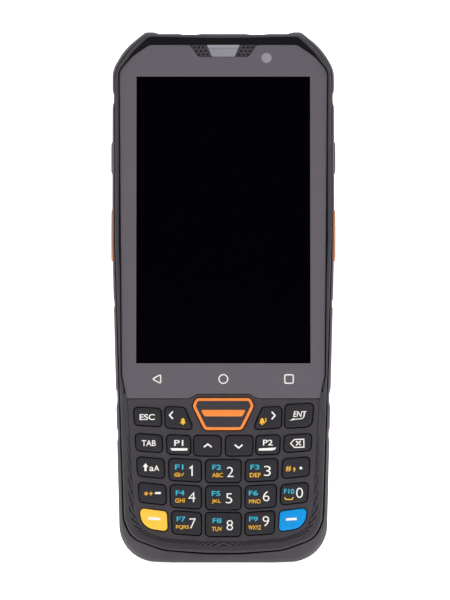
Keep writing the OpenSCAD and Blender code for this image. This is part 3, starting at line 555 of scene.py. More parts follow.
class Finish:
    """A material being built: its nodes, its shader, and short ways to add to them."""

    def __init__(self, name, **sockets):
        self.material = bpy.data.materials.new(name)
        self.material.use_nodes = True
        self.nodes = self.material.node_tree.nodes
        self.links = self.material.node_tree.links
        self.shader = self.nodes["Principled BSDF"]
        for socket, value in sockets.items():
            self.shader.inputs[socket.replace("_", " ")].default_value = value
        self.place = self.nodes.new("ShaderNodeTexCoord").outputs["Object"]

    def add(self, kind, **inputs):
        """A node of this kind with the named inputs set or linked."""
        node = self.nodes.new("ShaderNode" + kind)
        for socket, value in inputs.items():
            self.put(node.inputs[socket.replace("_", " ")], value)
        return node

    def put(self, socket, value):
        """Links an output to a socket, or sets the socket's value."""
        if isinstance(value, bpy.types.NodeSocket):
            self.links.new(value, socket)
        else:
            socket.default_value = value

    def noise(self, size_mm, detail=3.0, roughness=0.55):
        """Noise whose features are about this many millimetres wide."""
        return self.add("TexNoise", Vector=self.place, Scale=1 / (size_mm * MM), Detail=detail,
                        Roughness=roughness).outputs["Fac"]

    def between(self, value, first, second, start=0.0, end=1.0):
        """Spreads a value that runs from start to end over the range from first to second."""
        node = self.add("MapRange", Value=value)
        for socket, number in (("From Min", start), ("From Max", end), ("To Min", first), ("To Max", second)):
            node.inputs[socket].default_value = number
        return node.outputs["Result"]

    def mix(self, share, first, second):
        """Colour between two colours."""
        node = self.nodes.new("ShaderNodeMix")
        node.data_type = "RGBA"
        for index, value in ((0, share), (6, first), (7, second)):
            if isinstance(value, tuple) and len(value) == 3:
                value = (*value, 1)
            self.put(node.inputs[index], value)
        return node.outputs[2]

    def maths(self, operation, first, second=0.0):
        """One sum of two values."""
        node = self.nodes.new("ShaderNodeMath")
        node.operation = operation
        self.put(node.inputs[0], first)
        self.put(node.inputs[1], second)
        return node.outputs[0]

    def axis(self, index):
        """The object's X, Y or Z coordinate, in metres."""
        return self.add("SeparateXYZ", Vector=self.place).outputs[index]

    def colour(self, value):
        """Sets the base colour."""
        if isinstance(value, tuple):
            value = (*value, 1)
        self.put(self.shader.inputs["Base Color"], value)

    def rough(self, value):
        """Sets the roughness."""
        self.put(self.shader.inputs["Roughness"], value)

    def bump(self, height, depth_mm, strength=1.0):
        """Raises the surface by a height from 0 to 1, at most this many millimetres."""
        node = self.add("Bump", Height=height, Strength=strength, Distance=depth_mm * MM)
        self.links.new(node.outputs["Normal"], self.shader.inputs["Normal"])


def shade(colour, factor):
    """A colour made lighter or darker."""
    return tuple(min(1.0, c * factor) for c in colour)


def spark_plastic(name, colour, roughness=0.5, grain_mm=0.16, depth_mm=0.012, spread=0.1):
    """Moulded plastic with a spark-eroded texture: fine grain in its height, a broad drift in its
    colour, and roughness that follows the grain."""
    f = Finish(name, Specular_IOR_Level=0.3)
    grain = f.noise(grain_mm, 4.0)
    drift = f.noise(14.0, 2.0)
    tone = f.maths("ADD", f.between(grain, -0.5, 0.5), f.between(drift, -0.5, 0.5))
    share = f.between(tone, 0.0, 1.0, -0.6, 0.6)
    f.colour(f.mix(share, shade(colour, 1 - spread), shade(colour, 1 + spread)))
    f.rough(f.between(grain, roughness - 0.07, roughness + 0.09))
    f.bump(grain, depth_mm)
    return f.material


def soft_rubber(name, colour, roughness=0.55):
    """Moulded elastomer: a tight grain, a little dust that gathers unevenly, and a soft sheen."""
    f = Finish(name, Specular_IOR_Level=0.35, Sheen_Weight=0.06, Sheen_Roughness=0.5)
    grain = f.noise(0.11, 3.0)
    dust = f.noise(6.0, 5.0, 0.65)
    f.colour(f.mix(f.between(dust, 0.0, 1.0, 0.4, 0.7), shade(colour, 0.93), shade(colour, 1.08)))
    f.rough(f.between(grain, roughness - 0.05, roughness + 0.1))
    f.bump(grain, 0.009)
    return f.material


def key_plastic(name, colour, roughness=0.42, spread=0.05):
    """Satin key cap: smooth, with slight mould marks and a faint orange peel."""
    f = Finish(name, Specular_IOR_Level=0.2)
    peel = f.noise(0.5, 2.0)
    grain = f.noise(0.1, 3.0)
    f.colour(f.mix(peel, shade(colour, 1 - spread), shade(colour, 1 + spread)))
    f.rough(f.between(grain, roughness - 0.06, roughness + 0.06))
    f.bump(grain, 0.005)
    return f.material


def printed_ink(name, colour):
    """Screen-printed legend ink: slightly uneven cover and a matte surface."""
    f = Finish(name, Specular_IOR_Level=0.3)
    cover = f.noise(0.12, 2.0)
    f.colour(f.mix(cover, shade(colour, 0.93), shade(colour, 1.05)))
    f.rough(f.between(cover, 0.45, 0.6))
    return f.material


def metal(name, colour, roughness=0.3, brush_mm=0.08):
    """Stamped or plated metal with fine marks drawn out along Z."""
    f = Finish(name, Metallic=1.0)
    stretch = f.add("Mapping", Vector=f.place, Scale=Vector((1, 1, 0.08)))
    marks = f.add("TexNoise", Vector=stretch.outputs[0], Scale=1 / (brush_mm * MM), Detail=4.0)
    marks = marks.outputs["Fac"]
    f.colour(f.mix(marks, shade(colour, 0.9), shade(colour, 1.05)))
    f.rough(f.between(marks, roughness - 0.08, roughness + 0.12))
    f.bump(marks, 0.003)
    return f.material


def painted_shade_plastic(name, colour):
    """Nearly black matte material that stands in for shade, with fine grain: painted shade on the slope round
    the glass, in gaps, grooves and wells, and, partly, on the plain keys' sides.
    """
    f = Finish(name, Specular_IOR_Level=0.06)
    grain = f.noise(0.12, 3.0)
    f.colour(f.mix(grain, shade(colour, 0.8), shade(colour, 1.25)))
    f.rough(f.between(grain, 0.55, 0.75))
    f.bump(grain, 0.006)
    return f.material


def gloss_window(name, colour, roughness=0.08):
    """Hard-coated window: near-black body with faint polish marks in its roughness."""
    f = Finish(name, Specular_IOR_Level=0.5, Coat_Weight=0.5, Coat_Roughness=0.04)
    marks = f.noise(0.9, 5.0, 0.7)
    f.colour(f.mix(marks, shade(colour, 0.85), shade(colour, 1.1)))
    f.rough(f.between(marks, roughness, roughness + 0.05))
    return f.material


def board_mask(name, colour):
    """Solder mask with copper tracks showing as slightly raised, lighter lines."""
    f = Finish(name, Specular_IOR_Level=0.5)
    tracks = f.add("TexBrick", Vector=f.place, Scale=260.0, Mortar_Size=0.03)
    f.colour(f.mix(tracks.outputs["Fac"], colour, shade(colour, 1.7)))
    f.rough(f.between(f.noise(0.3), 0.25, 0.4))
    f.bump(tracks.outputs["Fac"], 0.03)
    return f.material


def cover_glass_finish(border, display):
    """Back-printed glass: the border's ink with a fine metallic fleck, and inside the display
    rectangle a near-black panel. The rectangle is where |x| and |z - middle| stay under its half sizes."""
    f = Finish("cover_glass", Specular_IOR_Level=0.18, Coat_Weight=0.0)
    edge_w = 0.8
    half_w = (DISPLAY_HIGH[0] - edge_w) * MM
    middle_z = (DISPLAY_LOW[2] + DISPLAY_HIGH[2]) / 2 * MM
    half_l = (DISPLAY_HIGH[2] - DISPLAY_LOW[2]) / 2 * MM - edge_w * MM
    across = f.maths("LESS_THAN", f.maths("ABSOLUTE", f.axis(0)), half_w)
    along = f.maths("LESS_THAN", f.maths("ABSOLUTE", f.maths("SUBTRACT", f.axis(2), middle_z)), half_l)
    inside = f.maths("MULTIPLY", across, along)
    fleck = f.noise(0.07, 2.0)
    drift = f.noise(30.0, 2.0)
    ink = f.mix(fleck, shade(border, 0.93), shade(border, 1.07))
    ink = f.mix(f.between(drift, 0.0, 0.5), ink, shade(border, 0.93))
    f.colour(f.mix(inside, ink, display))
    f.rough(f.mix(inside, (0.34,) * 3, (0.07,) * 3))
    return f.material


def indicator_finish(colour):
    """Frosted light pipe: a lighter strip along its top with a thin darker line under it."""
    f = Finish("indicator_pipe", Specular_IOR_Level=0.4, Subsurface_Weight=0.15)
    top = GLASS_TOP * MM
    strip = f.between(f.axis(2), 0.0, 1.0, top - 0.85 * MM, top - 0.7 * MM)
    from_line = f.maths("ABSOLUTE", f.maths("SUBTRACT", f.axis(2), top - 0.95 * MM))
    line = f.maths("LESS_THAN", from_line, 0.1 * MM)
    frost = f.noise(0.3, 4.0)
    body = f.mix(frost, shade(colour, 0.93), shade(colour, 1.04))
    f.colour(f.mix(line, f.mix(strip, body, shade(colour, 1.22)), shade(colour, 0.62)))
    f.rough(f.between(frost, 0.35, 0.5))
    return f.material


# ---- Settings ------------------------------------------------------------------------------------

class TerminalSizes(bpy.types.PropertyGroup):
    """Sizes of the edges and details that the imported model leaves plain."""

    case_edge: FloatProperty(name="Case edge", description="Rounding of the front housing's outer edge",
                             default=0.7 * MM, min=0, max=2 * MM, unit="LENGTH", precision=5)
    back_edge: FloatProperty(name="Back edge", description="Rounding of the rear housing's back edge",
                             default=2.4 * MM, min=0, max=3 * MM, unit="LENGTH", precision=5)
    bumper_edge: FloatProperty(name="Bumper edge", description="Rounding of the bumpers' edges",
                               default=1.5 * MM, min=0, max=3 * MM, unit="LENGTH", precision=5)
    key_edge: FloatProperty(name="Key edge", description="Rounding of the key caps",
                            default=0.32 * MM, min=0, max=0.6 * MM, unit="LENGTH", precision=5)
    key_gap: FloatProperty(name="Key gap", description="Space between a key and its well",
                           default=0.25 * MM, min=0, max=0.3 * MM, unit="LENGTH", precision=5)
    well_lip: FloatProperty(name="Well lip", description="Rounding of the edge round each key",
                            default=0.16 * MM, min=0, max=0.5 * MM, unit="LENGTH", precision=5)
    rope_depth: FloatProperty(name="Rope depth", description="Depth of the cuts in the band round the keypad",
                              default=0.3 * MM, min=0, max=0.6 * MM, unit="LENGTH", precision=5)
    ink: FloatProperty(name="Ink", description="How far printed legends stand over the surface",
                       default=0.012 * MM, min=0.002 * MM, max=0.05 * MM, unit="LENGTH", precision=6)


class TerminalColours(bpy.types.PropertyGroup):
    """Colours of the terminal's finishes."""

    front: FloatVectorProperty(name="Front case", description="Matte plastic of the front", subtype="COLOR",
                               default=srgb(60, 56, 62), min=0, max=1)
    # Painted shade: near-black colour of the slope round the glass; darkened, it also colours the shadow gap
    # and the bumpers' groove
    slope: FloatVectorProperty(name="Glass surround", description="Slope round the glass", subtype="COLOR",
                               default=srgb(16, 15, 20), min=0, max=1)
    rear: FloatVectorProperty(name="Rear case", description="Matte plastic of the back", subtype="COLOR",
                              default=srgb(62, 58, 64), min=0, max=1)
    bumper: FloatVectorProperty(name="Bumpers", description="Rubber of the bumpers", subtype="COLOR",
                                default=srgb(84, 79, 86), min=0, max=1)
    border: FloatVectorProperty(name="Glass border", description="Ink round the display", subtype="COLOR",
                                default=srgb(97, 92, 99), min=0, max=1)
    display: FloatVectorProperty(name="Display", description="The unlit display", subtype="COLOR",
                                 default=srgb(2, 2, 4), min=0, max=1)
    key: FloatVectorProperty(name="Keys", description="Plain key caps", subtype="COLOR",
                             default=srgb(42, 40, 45), min=0, max=1)
    orange: FloatVectorProperty(name="Orange", description="Scan keys", subtype="COLOR",
                                default=srgb(240, 136, 62), min=0, max=1)
    yellow: FloatVectorProperty(name="Yellow", description="Yellow key", subtype="COLOR",
                                default=srgb(252, 200, 72), min=0, max=1)
    blue: FloatVectorProperty(name="Blue", description="Blue key", subtype="COLOR",
                              default=srgb(0, 145, 218), min=0, max=1)
    white_ink: FloatVectorProperty(name="White ink", description="Main legends", subtype="COLOR",
                                   default=srgb(242, 238, 232), min=0, max=1)
    cyan_ink: FloatVectorProperty(name="Cyan ink", description="Function legends", subtype="COLOR",
                                  default=srgb(46, 182, 212), min=0, max=1)
    yellow_ink: FloatVectorProperty(name="Yellow ink", description="Letter legends", subtype="COLOR",
                                    default=srgb(244, 184, 44), min=0, max=1)
    indicator: FloatVectorProperty(name="Indicator", description="Frosted light pipe", subtype="COLOR",
                                   default=srgb(146, 139, 147), min=0, max=1)


def sizes():
    """The size settings, in millimetres."""
    group = bpy.context.scene.terminal_sizes
    names = ("case_edge", "back_edge", "bumper_edge", "key_edge", "key_gap", "well_lip", "rope_depth", "ink")
    return {name: getattr(group, name) / MM for name in names}


def colour_of(name):
    """One of the colour settings."""
    return tuple(getattr(bpy.context.scene.terminal_colours, name))


# ---- Front housing -------------------------------------------------------------------------------

# Order of the front housing's materials: the slope round the glass and the shadow, both painted shade
SLOPE_SHADE, SHADOW = 1, 2
# Pitch of the rope-like cuts: at the lower corners, and how much longer they get away from them
ROPE_PITCH = 0.78
ROPE_STRETCH = 3.4


def rope_layout():
    """Right side of the rim's inner edge with the places of its samples.

    The pitch of the cuts grows with the distance from the middle of the lower corner, and the phase
    is the sum of travel over pitch. Samples follow the pitch beside the keypad, so each cut gets as
    many, and lie evenly beyond it. Returns points, places along the spine, phase and distance.
    """
    dense, travel = right_side(INNER_HALF)
    corner = travel[np.argmin(np.abs(spine_place(dense) - (SPINE[0] - 20 * 0.8)))]
    away = np.abs(travel - corner)
    pitch = ROPE_PITCH + ROPE_STRETCH * smooth_step(5, 22, away)
    spacing = np.where(dense[:, 1] < KEYPAD_L, np.clip(pitch / 9, 0.08, 0.4), 0.35)
    step = travel[1] - travel[0]
    count = np.cumsum(step / spacing)
    samples = np.interp(np.arange(1, int(count[-1])), count, travel)
    samples = np.concatenate([[0], samples, [travel[-1]]])
    phase = np.interp(samples, travel, np.cumsum(step / pitch))
    points = np.stack([np.interp(samples, travel, dense[:, i]) for i in (0, 1)], 1)
    return points, spine_place(points), phase, np.interp(samples, travel, away)


def front_rim(size):
    """The front housing without its keypad: a dish whose rim is carried round the body.

    Each ring lies a distance in from the housing's outline towards the rim's inner edge. The rim has
    a rounded outer edge, a flat crest, and beyond it beside the glass a slope down to the glass, or
    beside the keypad a fall to a band of slanted cuts. A cut is a bell curve of the phase plus the
    share across the band, and it fades where the band gets thin.
    """
    inner, places, phase, away = rope_layout()
    outer = at_places(CASE_HALF, places)
    width = np.linalg.norm(outer - inner, axis=1)
    inward = (inner - outer) / width[:, None]
    glass = smooth_step(KEYPAD_L - 3, KEYPAD_L + 3, inner[:, 1])
    glass_hard = inner[:, 1] > KEYPAD_L - 0.3
    crest_y = FRONT_Y + 0.22 * (1 - glass)
    edge = np.minimum(size["case_edge"], width * 0.6)
    crest = np.minimum(edge + 0.12 + 0.25 * glass, width - 0.25)
    band = np.where(inner[:, 1] < KEYPAD_L, 1.35 - 0.9 * smooth_step(12, 46, inner[:, 1]), 0.3)
    band = np.minimum(band, (width - crest) * 0.95)

    def placed(distance, y):
        flat = outer + inward * np.broadcast_to(distance, width.shape)[:, None]
        side = np.empty((len(flat), 3))
        side[:, 0], side[:, 1], side[:, 2] = flat[:, 0], np.broadcast_to(y, width.shape), flat[:, 1]
        return whole_round(side)

    rings = [placed(WALL, FLOOR_Y[1]), placed(WALL, SEAM_Y), placed(0.0, SEAM_Y),
             placed(0.0, crest_y + edge + 0.9)]
    for share_in, share_down in quarter(6)[::-1]:
        rings.append(placed(edge * share_in, crest_y + edge * share_down))
    rings.append(placed(crest, crest_y))
    # Painted shade: the wall from the floor over the seam up to the rounded edge is coloured nearly black, as
    # a shadow gap by the bumper
    painted_shade_segments = 4
    paint = [np.full(len(rings[0]), SHADOW)] * painted_shade_segments
    paint += [np.zeros(len(rings[0]), int)] * (len(rings) - 1 - painted_shade_segments)
    # Painted shade: beside the glass, the slope down to it is coloured nearly black
    slope = both_halves(glass_hard & (inner[:, 1] > KEYPAD_L + 1.5))
    shoulder_y = np.where(glass_hard, GLASS_Y - 0.02, DECK_Y - 0.1)
    for share in (0.12, 0.35, 0.6, 0.8, 0.93):
        rings.append(placed(crest + (width - band - crest) * share, crest_y + (shoulder_y - crest_y) * share))
        paint.append(np.where(slope, SLOPE_SHADE, 0))
    fade = smooth_step(0.35, 0.8, band) * (0.35 + 0.65 * (1 - smooth_step(6, 20, away)))
    for share in np.linspace(0, 1, 11):
        turn = (phase + 1.3 * share) % 1.0
        cut = np.exp(-((turn - 0.5) / 0.17) ** 2)
        bulge = 0.12 * math.sin(math.pi * share)
        y = shoulder_y + (DECK_Y + 0.05 - shoulder_y) * share - bulge * fade
        y = y + size["rope_depth"] * cut * fade * math.sin(math.pi * min(1.0, 0.12 + share * 0.88))
        glass_slope_y = shoulder_y + 0.1 * share
        rings.append(placed(width - band * (1 - share), np.where(glass_hard, glass_slope_y, y)))
        # Painted shade: beside the keypad, the middle of each cut is coloured nearly black
        dark = both_halves((cut > 0.4) & (fade > 0.2) & ~glass_hard)
        inside = 0.05 < share < 0.97
        paint.append(np.where(slope, SLOPE_SHADE, np.where(dark & inside, SHADOW, 0)))
    rings.append(placed(width, FLOOR_Y[0]))
    paint.append(np.full(len(rings[0]), SHADOW))
    return loft(rings), np.concatenate(paint)


class TERMINAL_OT_front_housing(bpy.types.Operator):
    """Front housing: rounded rim, slope round the glass with painted shade, rope-like band and the keys'
    wells
    """
    bl_idname = "terminal.front_housing"
    bl_label = "Front housing"

    def execute(self, context):
        size = sizes()
        solid, paint = front_rim(size)
        shell = object_of("front_shell", solid)
        finishes = [spark_plastic("front_case", colour_of("front")),
                    painted_shade_plastic("glass_surround", colour_of("slope")),
                    painted_shade_plastic("shadow_gap", shade(colour_of("slope"), 0.8))]
        dress(shell, finishes, paint)
        deck = pillow(grown(rounded(mirrored(DECK_HALF), 12), -0.1), DECK_Y, FLOOR_Y[0] + 0.3, 0.12)
        combine(shell, deck, "UNION")
        wells = [well(outline, size["well_lip"], DECK_Y, SEAM_Y, size["key_gap"])
                 for outline in all_key_outlines().values()]
        combine(shell, together(*wells))
        dress(shell, finishes)
        # Painted shade: the wells' walls behind the keypad surface are coloured nearly black
        paint_steep(shell.data, SHADOW, DECK_Y + 0.12)
        finished(shell, None, "case", ("front_housing",))
        evened(shell)
        return {"FINISHED"}


def paint_steep(mesh, index, behind):
    """Gives a material to the faces that stand along Y and lie behind a depth."""
    count = len(mesh.polygons)
    normal, centre, old = np.empty(count * 3), np.empty(count * 3), np.empty(count, np.int32)
    mesh.polygons.foreach_get("normal", normal)
    mesh.polygons.foreach_get("center", centre)
    mesh.polygons.foreach_get("material_index", old)
    steep = (np.abs(normal[1::3]) < 0.5) & (centre[1::3] / MM > behind)
    mesh.polygons.foreach_set("material_index", np.where(steep, index, old).astype(np.int32))


# ---- Bumpers -------------------------------------------------------------------------------------

# Heights where the bumpers meet
BUMPER_JOINTS = (high("bottom_bumper")[2], low("top_bumper")[2])
# How far the bumpers reach into the housing's side
BUMPER_OVERLAP = 0.05
# The groove between the front housing and the bumpers, painted dark with shade, and the slant at its outer
# edge
GROOVE_W = 0.5
GROOVE_DEPTH = 1.2
GROOVE_LIP = 0.12
# Shallow dips along the sides: height, half their length and depth
GRIP_DIPS = ((138.5, 2.0, 0.4), (77.0, 1.2, 0.2), (49.0, 2.2, 0.35), (38.0, 1.6, 0.25))


def bumper_sections(size, start, end, count):
    """Closed sections of the bumper between two places along the right side.

    A section runs from the housing's side out to the bumper's edge and back: its outer corners are
    quarter circles, no wider than most of the bumper's own thickness there.
    """
    places = np.linspace(start, end, count)
    inner = at_places(CASE_HALF, places)
    outer = at_places(BUMPER_HALF, places)
    width = np.linalg.norm(outer - inner, axis=1)
    outward = (outer - inner) / width[:, None]
    for z, half_l, depth in GRIP_DIPS:
        width = width - depth * np.exp(-((outer[:, 1] - z) / half_l) ** 4)
    reach = np.minimum(size["bumper_edge"], width * 0.8)
    arc = quarter(7)
    shares = np.concatenate([arc, arc[::-1]])
    ends = np.repeat([BUMPER_Y[0], BUMPER_Y[1]], len(arc))
    ways = np.repeat([1.0, -1.0], len(arc))
    distance = width[:, None] - reach[:, None] * shares[:, 0]
    y = np.tile(ends + ways * size["bumper_edge"] * shares[:, 1], (count, 1))
    groove = np.minimum(GROOVE_W, 0.28 * width)[:, None]
    lip = groove + GROOVE_LIP
    side = np.full((count, 1), -BUMPER_OVERLAP)
    floor, face, back = [np.full((count, 1), depth) for depth in (BUMPER_Y[0] + GROOVE_DEPTH, *BUMPER_Y)]
    distance = np.hstack([side, groove, groove, lip, np.maximum(distance, lip), side])
    y = np.hstack([floor, floor, face + GROOVE_LIP, face, y, back])
    flat = inner[:, None] + outward[:, None] * distance[..., None]
    return np.stack([flat[..., 0], y, flat[..., 1]], -1)


def groove_paint(sections):
    """Material of each face of lofted sections: the shadow in the groove, and rubber elsewhere."""
    count, size = sections.shape[:2]
    return np.concatenate([np.tile(np.arange(size) < 2, count - 1), [0, 0]]).astype(np.int32)


def mirror_sections(sections):
    """The left side's sections, in the order that continues the right side's."""
    return sections[::-1] * (-1, 1, 1)


# Side keys and the side each is on: 1 is the right
SIDE_KEYS = (("right_scan_key", 1), ("power_key", 1), ("left_scan_key", -1), ("volume_key", -1))


def side_key_outline(node, grow=0.0):
    """Outline of a side key in Y and Z, from its CAD node's outer cap."""
    z0, z1 = low(node)[2] + 0.6, high(node)[2] - 0.6
    y0, y1 = low(node)[1] + 0.6, high(node)[1] - 0.6
    return tile(y0 - grow, y1 + grow, z0 - grow, z1 + grow, 1.4 + grow)


def side_key_cutters():
    """Openings for the four side keys."""
    cutters = []
    for node, side in SIDE_KEYS:
        z = (low(node)[2] + high(node)[2]) / 2
        start, end = side * (case_x(z) - WALL - 2), side * (BODY_HALF_W + 3)
        cutters.append(slab(side_key_outline(node, PLAY), start, end, "x"))
    return together(*cutters)


def scan_cutter(grow):
    """Opening in the top end for the scan window."""
    lo, hi = low("scan_window"), high("scan_window")
    outline = tile(lo[0] - grow, hi[0] + grow, lo[1] - grow, hi[1] + grow, 1.4)
    return slab(outline, BODY_L - 12, BODY_L + 2, "z")


class TERMINAL_OT_bumpers(bpy.types.Operator):
    """Rubber bumpers: bottom, sides and top, with openings for the keys, the port and the window"""
    bl_idname = "terminal.bumpers"
    bl_label = "Bumpers"

    def execute(self, context):
        size = sizes()
        rubber = soft_rubber("bumper", colour_of("bumper"))
        low_place = float(spine_place(np.array([[0.0, 0.0]]))[0])
        high_place = float(spine_place(np.array([[0.0, BODY_L]]))[0])
        finishes = [rubber, painted_shade_plastic("groove_shadow", shade(colour_of("slope"), 0.8))]

        def start(name, solid, *parts):
            obj = object_of(name, solid)
            dress(obj, finishes, np.concatenate([groove_paint(part) for part in parts]))
            return obj

        right = bumper_sections(size, low_place, BUMPER_JOINTS[0], 260)
        around = np.concatenate([mirror_sections(right)[:-1], right])
        bottom = start("bottom_guard", loft(around), around)
        port = (low("usb_port") + high("usb_port")) / 2
        combine(bottom, slab(tile(-7, 7, port[1] - 3.4, port[1] + 3.4, 2), -1, FOOT_T + 2, "z"))
        right = bumper_sections(size, BUMPER_JOINTS[1], high_place, 420)
        around = np.concatenate([right, mirror_sections(right)[1:]])
        top = start("top_guard", loft(around), around)
        combine(top, scan_cutter(1.2))
        right = bumper_sections(size, BUMPER_JOINTS[0] + 0.01, BUMPER_JOINTS[1] - 0.01, 400)
        sides = start("side_guards", together(loft(right), loft(mirror_sections(right))), right, right)
        combine(sides, side_key_cutters())
        for obj, node in ((bottom, "bottom_bumper"), (top, "top_bumper"), (sides, "side_bumpers")):
            dress(obj, finishes)
            finished(obj, None, "case", (node,))
            evened(obj)
        return {"FINISHED"}


# ---- Rear housing --------------------------------------------------------------------------------

def screw_places():
    """Middle of each housing screw, from the CAD node's separate pieces."""
    mesh = frame["nodes"]["housing_screws"].data
    co = np.empty(len(mesh.vertices) * 3)
    mesh.vertices.foreach_get("co", co)
    co = co.reshape(-1, 3) / MM
    places = []
    for z0, z1 in ((5, 30), (40, 70), (140, 158)):
        group = co[(co[:, 2] > z0) & (co[:, 2] < z1) & (co[:, 0] > 0)]
        x, _, z = (group.max(0) + group.min(0)) / 2
        places += [(x, z), (-x, z)]
    return places


SCREW_HEAD_R = 1.7
HEAD_DEPTH = 3.4
LENSES = ((14, BODY_L - 24, 3.2), (14, BODY_L - 33, 1.5))
SPEAKER = (-14, BODY_L - 27)
# Room above the latch for it to slide
LATCH_WAY = 2.5
DOCK_X = (-8, -4, 0, 4, 8)
DOCK_Z = 11
DOCK_R = 1.2


class TERMINAL_OT_rear_housing(bpy.types.Operator):
    """Rear housing: rounded back with the battery bay, screws' seats, speaker holes and dock pads' holes"""
    bl_idname = "terminal.rear_housing"
    bl_label = "Rear housing"

    def execute(self, context):
        outline = rounded(mirrored(CASE_HALF), 16)
        block = pillow(outline, BACK_Y, SEAM_Y, sizes()["back_edge"], steps=10)
        shell = object_of("rear_shell", block)
        for solid in self.hollows(outline) + self.openings():
            combine(shell, solid)
        plastic = spark_plastic("rear_case", colour_of("rear"), 0.55)
        finished(shell, plastic, "case", ("rear_housing",))
        evened(shell)
        return {"FINISHED"}

    def hollows(self, outline):
        """The space inside, round the battery bay, and the bay with its ledge for the cover."""
        inside = grown(outline, -WALL)
        cover = seat_of(COVER_LOW, COVER_HIGH, PLAY, 3.3, 8)
        bay = seat_of(PACK_LOW, PACK_HIGH, PLAY, 0.4, 2)
        deck_y = PACK_LOW[1] - PLAY
        return [slab(inside, SEAM_Y - 1, deck_y - 1),
                slab(cover, COVER_LOW[1] - SEAT, BACK_Y + 1),
                slab(bay, deck_y, BACK_Y + 1)]

    def openings(self):
        """Everything else that is cut into the back, the sides and the ends."""
        sink = [(SCREW_HEAD_R + 0.45, BACK_Y + 1), (SCREW_HEAD_R + 0.45, BACK_Y),
                (SCREW_HEAD_R + SEAT, BACK_Y - 0.35), (SCREW_HEAD_R + SEAT, BACK_Y - HEAD_DEPTH)]
        heads = [turned(sink, x, z) for x, z in screw_places()]
        holes = [turned([(0.75, BACK_Y + 1), (0.75, BACK_Y), (0.6, BACK_Y - 0.15), (0.6, BACK_Y - 2.5)],
                        SPEAKER[0] + 2 * column, SPEAKER[1] + 2 * row, 24)
                 for column in range(-2, 3) for row in range(-1, 2)]
        docks = [turned([(DOCK_R + 0.35, BACK_Y + 1), (DOCK_R + 0.35, BACK_Y), (DOCK_R + 0.05, BACK_Y - 0.3),
                         (DOCK_R + 0.05, BACK_Y - 2.2)], x, DOCK_Z, 32) for x in DOCK_X]
        window_lo, window_hi = low("camera_window"), high("camera_window")
        window = seat_of(window_lo, window_hi, SEAT, 2.7)
        lenses = [slab(circle(x, z, r + SEAT), BACK_Y - 6, BACK_Y) for x, z, r in LENSES]
        latch_lo, latch_hi = low("battery_latch"), high("battery_latch")
        pocket = seat_of(latch_lo, latch_hi + np.array((0, 0, LATCH_WAY)), PLAY, 1.3)
        middle = (latch_lo[2] + latch_hi[2]) / 2
        slot = tile(-4.8, 4.8, middle - 1.8, middle + 4.3, 0.3)
        port = (low("usb_port") + high("usb_port")) / 2
        mouth = tile(-5.0, 5.0, port[1] - 2.1, port[1] + 2.1, 2.09)
        return [together(*heads), together(*holes, *docks), slab(window, window_lo[1] - SEAT, BACK_Y + 1),
                together(*lenses), slab(pocket, BACK_Y - 1.2, BACK_Y + 1), slab(slot, BACK_Y - 4, BACK_Y),
                side_key_cutters(), scan_cutter(SEAT), slab(mouth, FOOT_T - 1, FOOT_T + 9, "z")]


class TERMINAL_OT_screws(bpy.types.Operator):
    """Housing screws: pan heads with six-lobed recesses, seated deep in the back"""
    bl_idname = "terminal.screws"
    bl_label = "Housing screws"

    def execute(self, context):
        top = BACK_Y - HEAD_DEPTH + 1.4
        solids = []
        for x, z in screw_places():
            angle = np.linspace(0, 2 * math.pi, 72, endpoint=False)
            lobes = 0.72 + 0.12 * np.cos(6 * angle)
            star = np.stack([x + lobes * np.cos(angle), z + lobes * np.sin(angle)], 1)
            head = [(1.0, top - 1.4), (SCREW_HEAD_R, top - 1.2), (SCREW_HEAD_R, top - 0.5),
                    (SCREW_HEAD_R - 0.12, top - 0.2), (SCREW_HEAD_R - 0.4, top - 0.04), (1.05, top)]
            rings = [ring(circle(x, z, r, 72), y) for r, y in head]
            rings += [ring(star, top), ring(star, top - 0.6)]
            solids.append(loft(rings))
        screws = object_of("screw_heads", together(*solids))
        finished(screws, metal("screw", srgb(96, 94, 98), 0.36), "case", ("housing_screws",))
        return {"FINISHED"}


# ---- Glass and display ---------------------------------------------------------------------------

NAV_Z = 54.45
NAV_STROKE = 0.34


class TERMINAL_OT_cover_glass(bpy.types.Operator):
    """Cover glass with its printed border, the front camera's window and three navigation marks"""
    bl_idname = "terminal.cover_glass"
    bl_label = "Cover glass"

    def execute(self, context):
        outline = rounded(mirrored(GLASS_HALF), 10)
        glass = object_of("glass_sheet", pillow(outline, GLASS_Y, GLASS_BACK_Y - 0.05, 0.15))
        finish = cover_glass_finish(colour_of("border"), colour_of("display"))
        finished(glass, finish, "case", ("cover_glass",))
        evened(glass)
        self.marks(GLASS_Y - sizes()["ink"])
        camera = (low("front_camera") + high("front_camera")) / 2
        profile = [(1.5, GLASS_Y + 0.1), (1.5, GLASS_Y - 0.005), (1.44, GLASS_Y - 0.02),
                   (1.36, GLASS_Y - 0.02), (1.3, GLASS_Y - 0.01)]
        window = object_of("front_camera_window", turned(profile, camera[0], camera[2], 64))
        finished(window, indicator_window(colour_of("indicator")), "case")
        return {"FINISHED"}

    def marks(self, y):
        """A triangle, a ring and a rounded square, as thin printed strips."""
        back = GLASS_Y + 0.05
        corners = [(-21.05, NAV_Z, 0.25), (-18.6, NAV_Z - 1.35, 0.25), (-18.6, NAV_Z + 1.35, 0.25)]
        square = tile(19.5 - 1.25, 19.5 + 1.25, NAV_Z - 1.25, NAV_Z + 1.25, 0.35, 4)
        paths = [rounded(corners, 4), circle(0, NAV_Z, 1.3), square]
        shapes = [tape(path, NAV_STROKE, y, back, True) for path in paths]
        marks = object_of("navigation_marks", together(*shapes))
        ink = printed_ink("navigation_ink", shade(colour_of("white_ink"), 0.95))
        finished(marks, ink, "case")


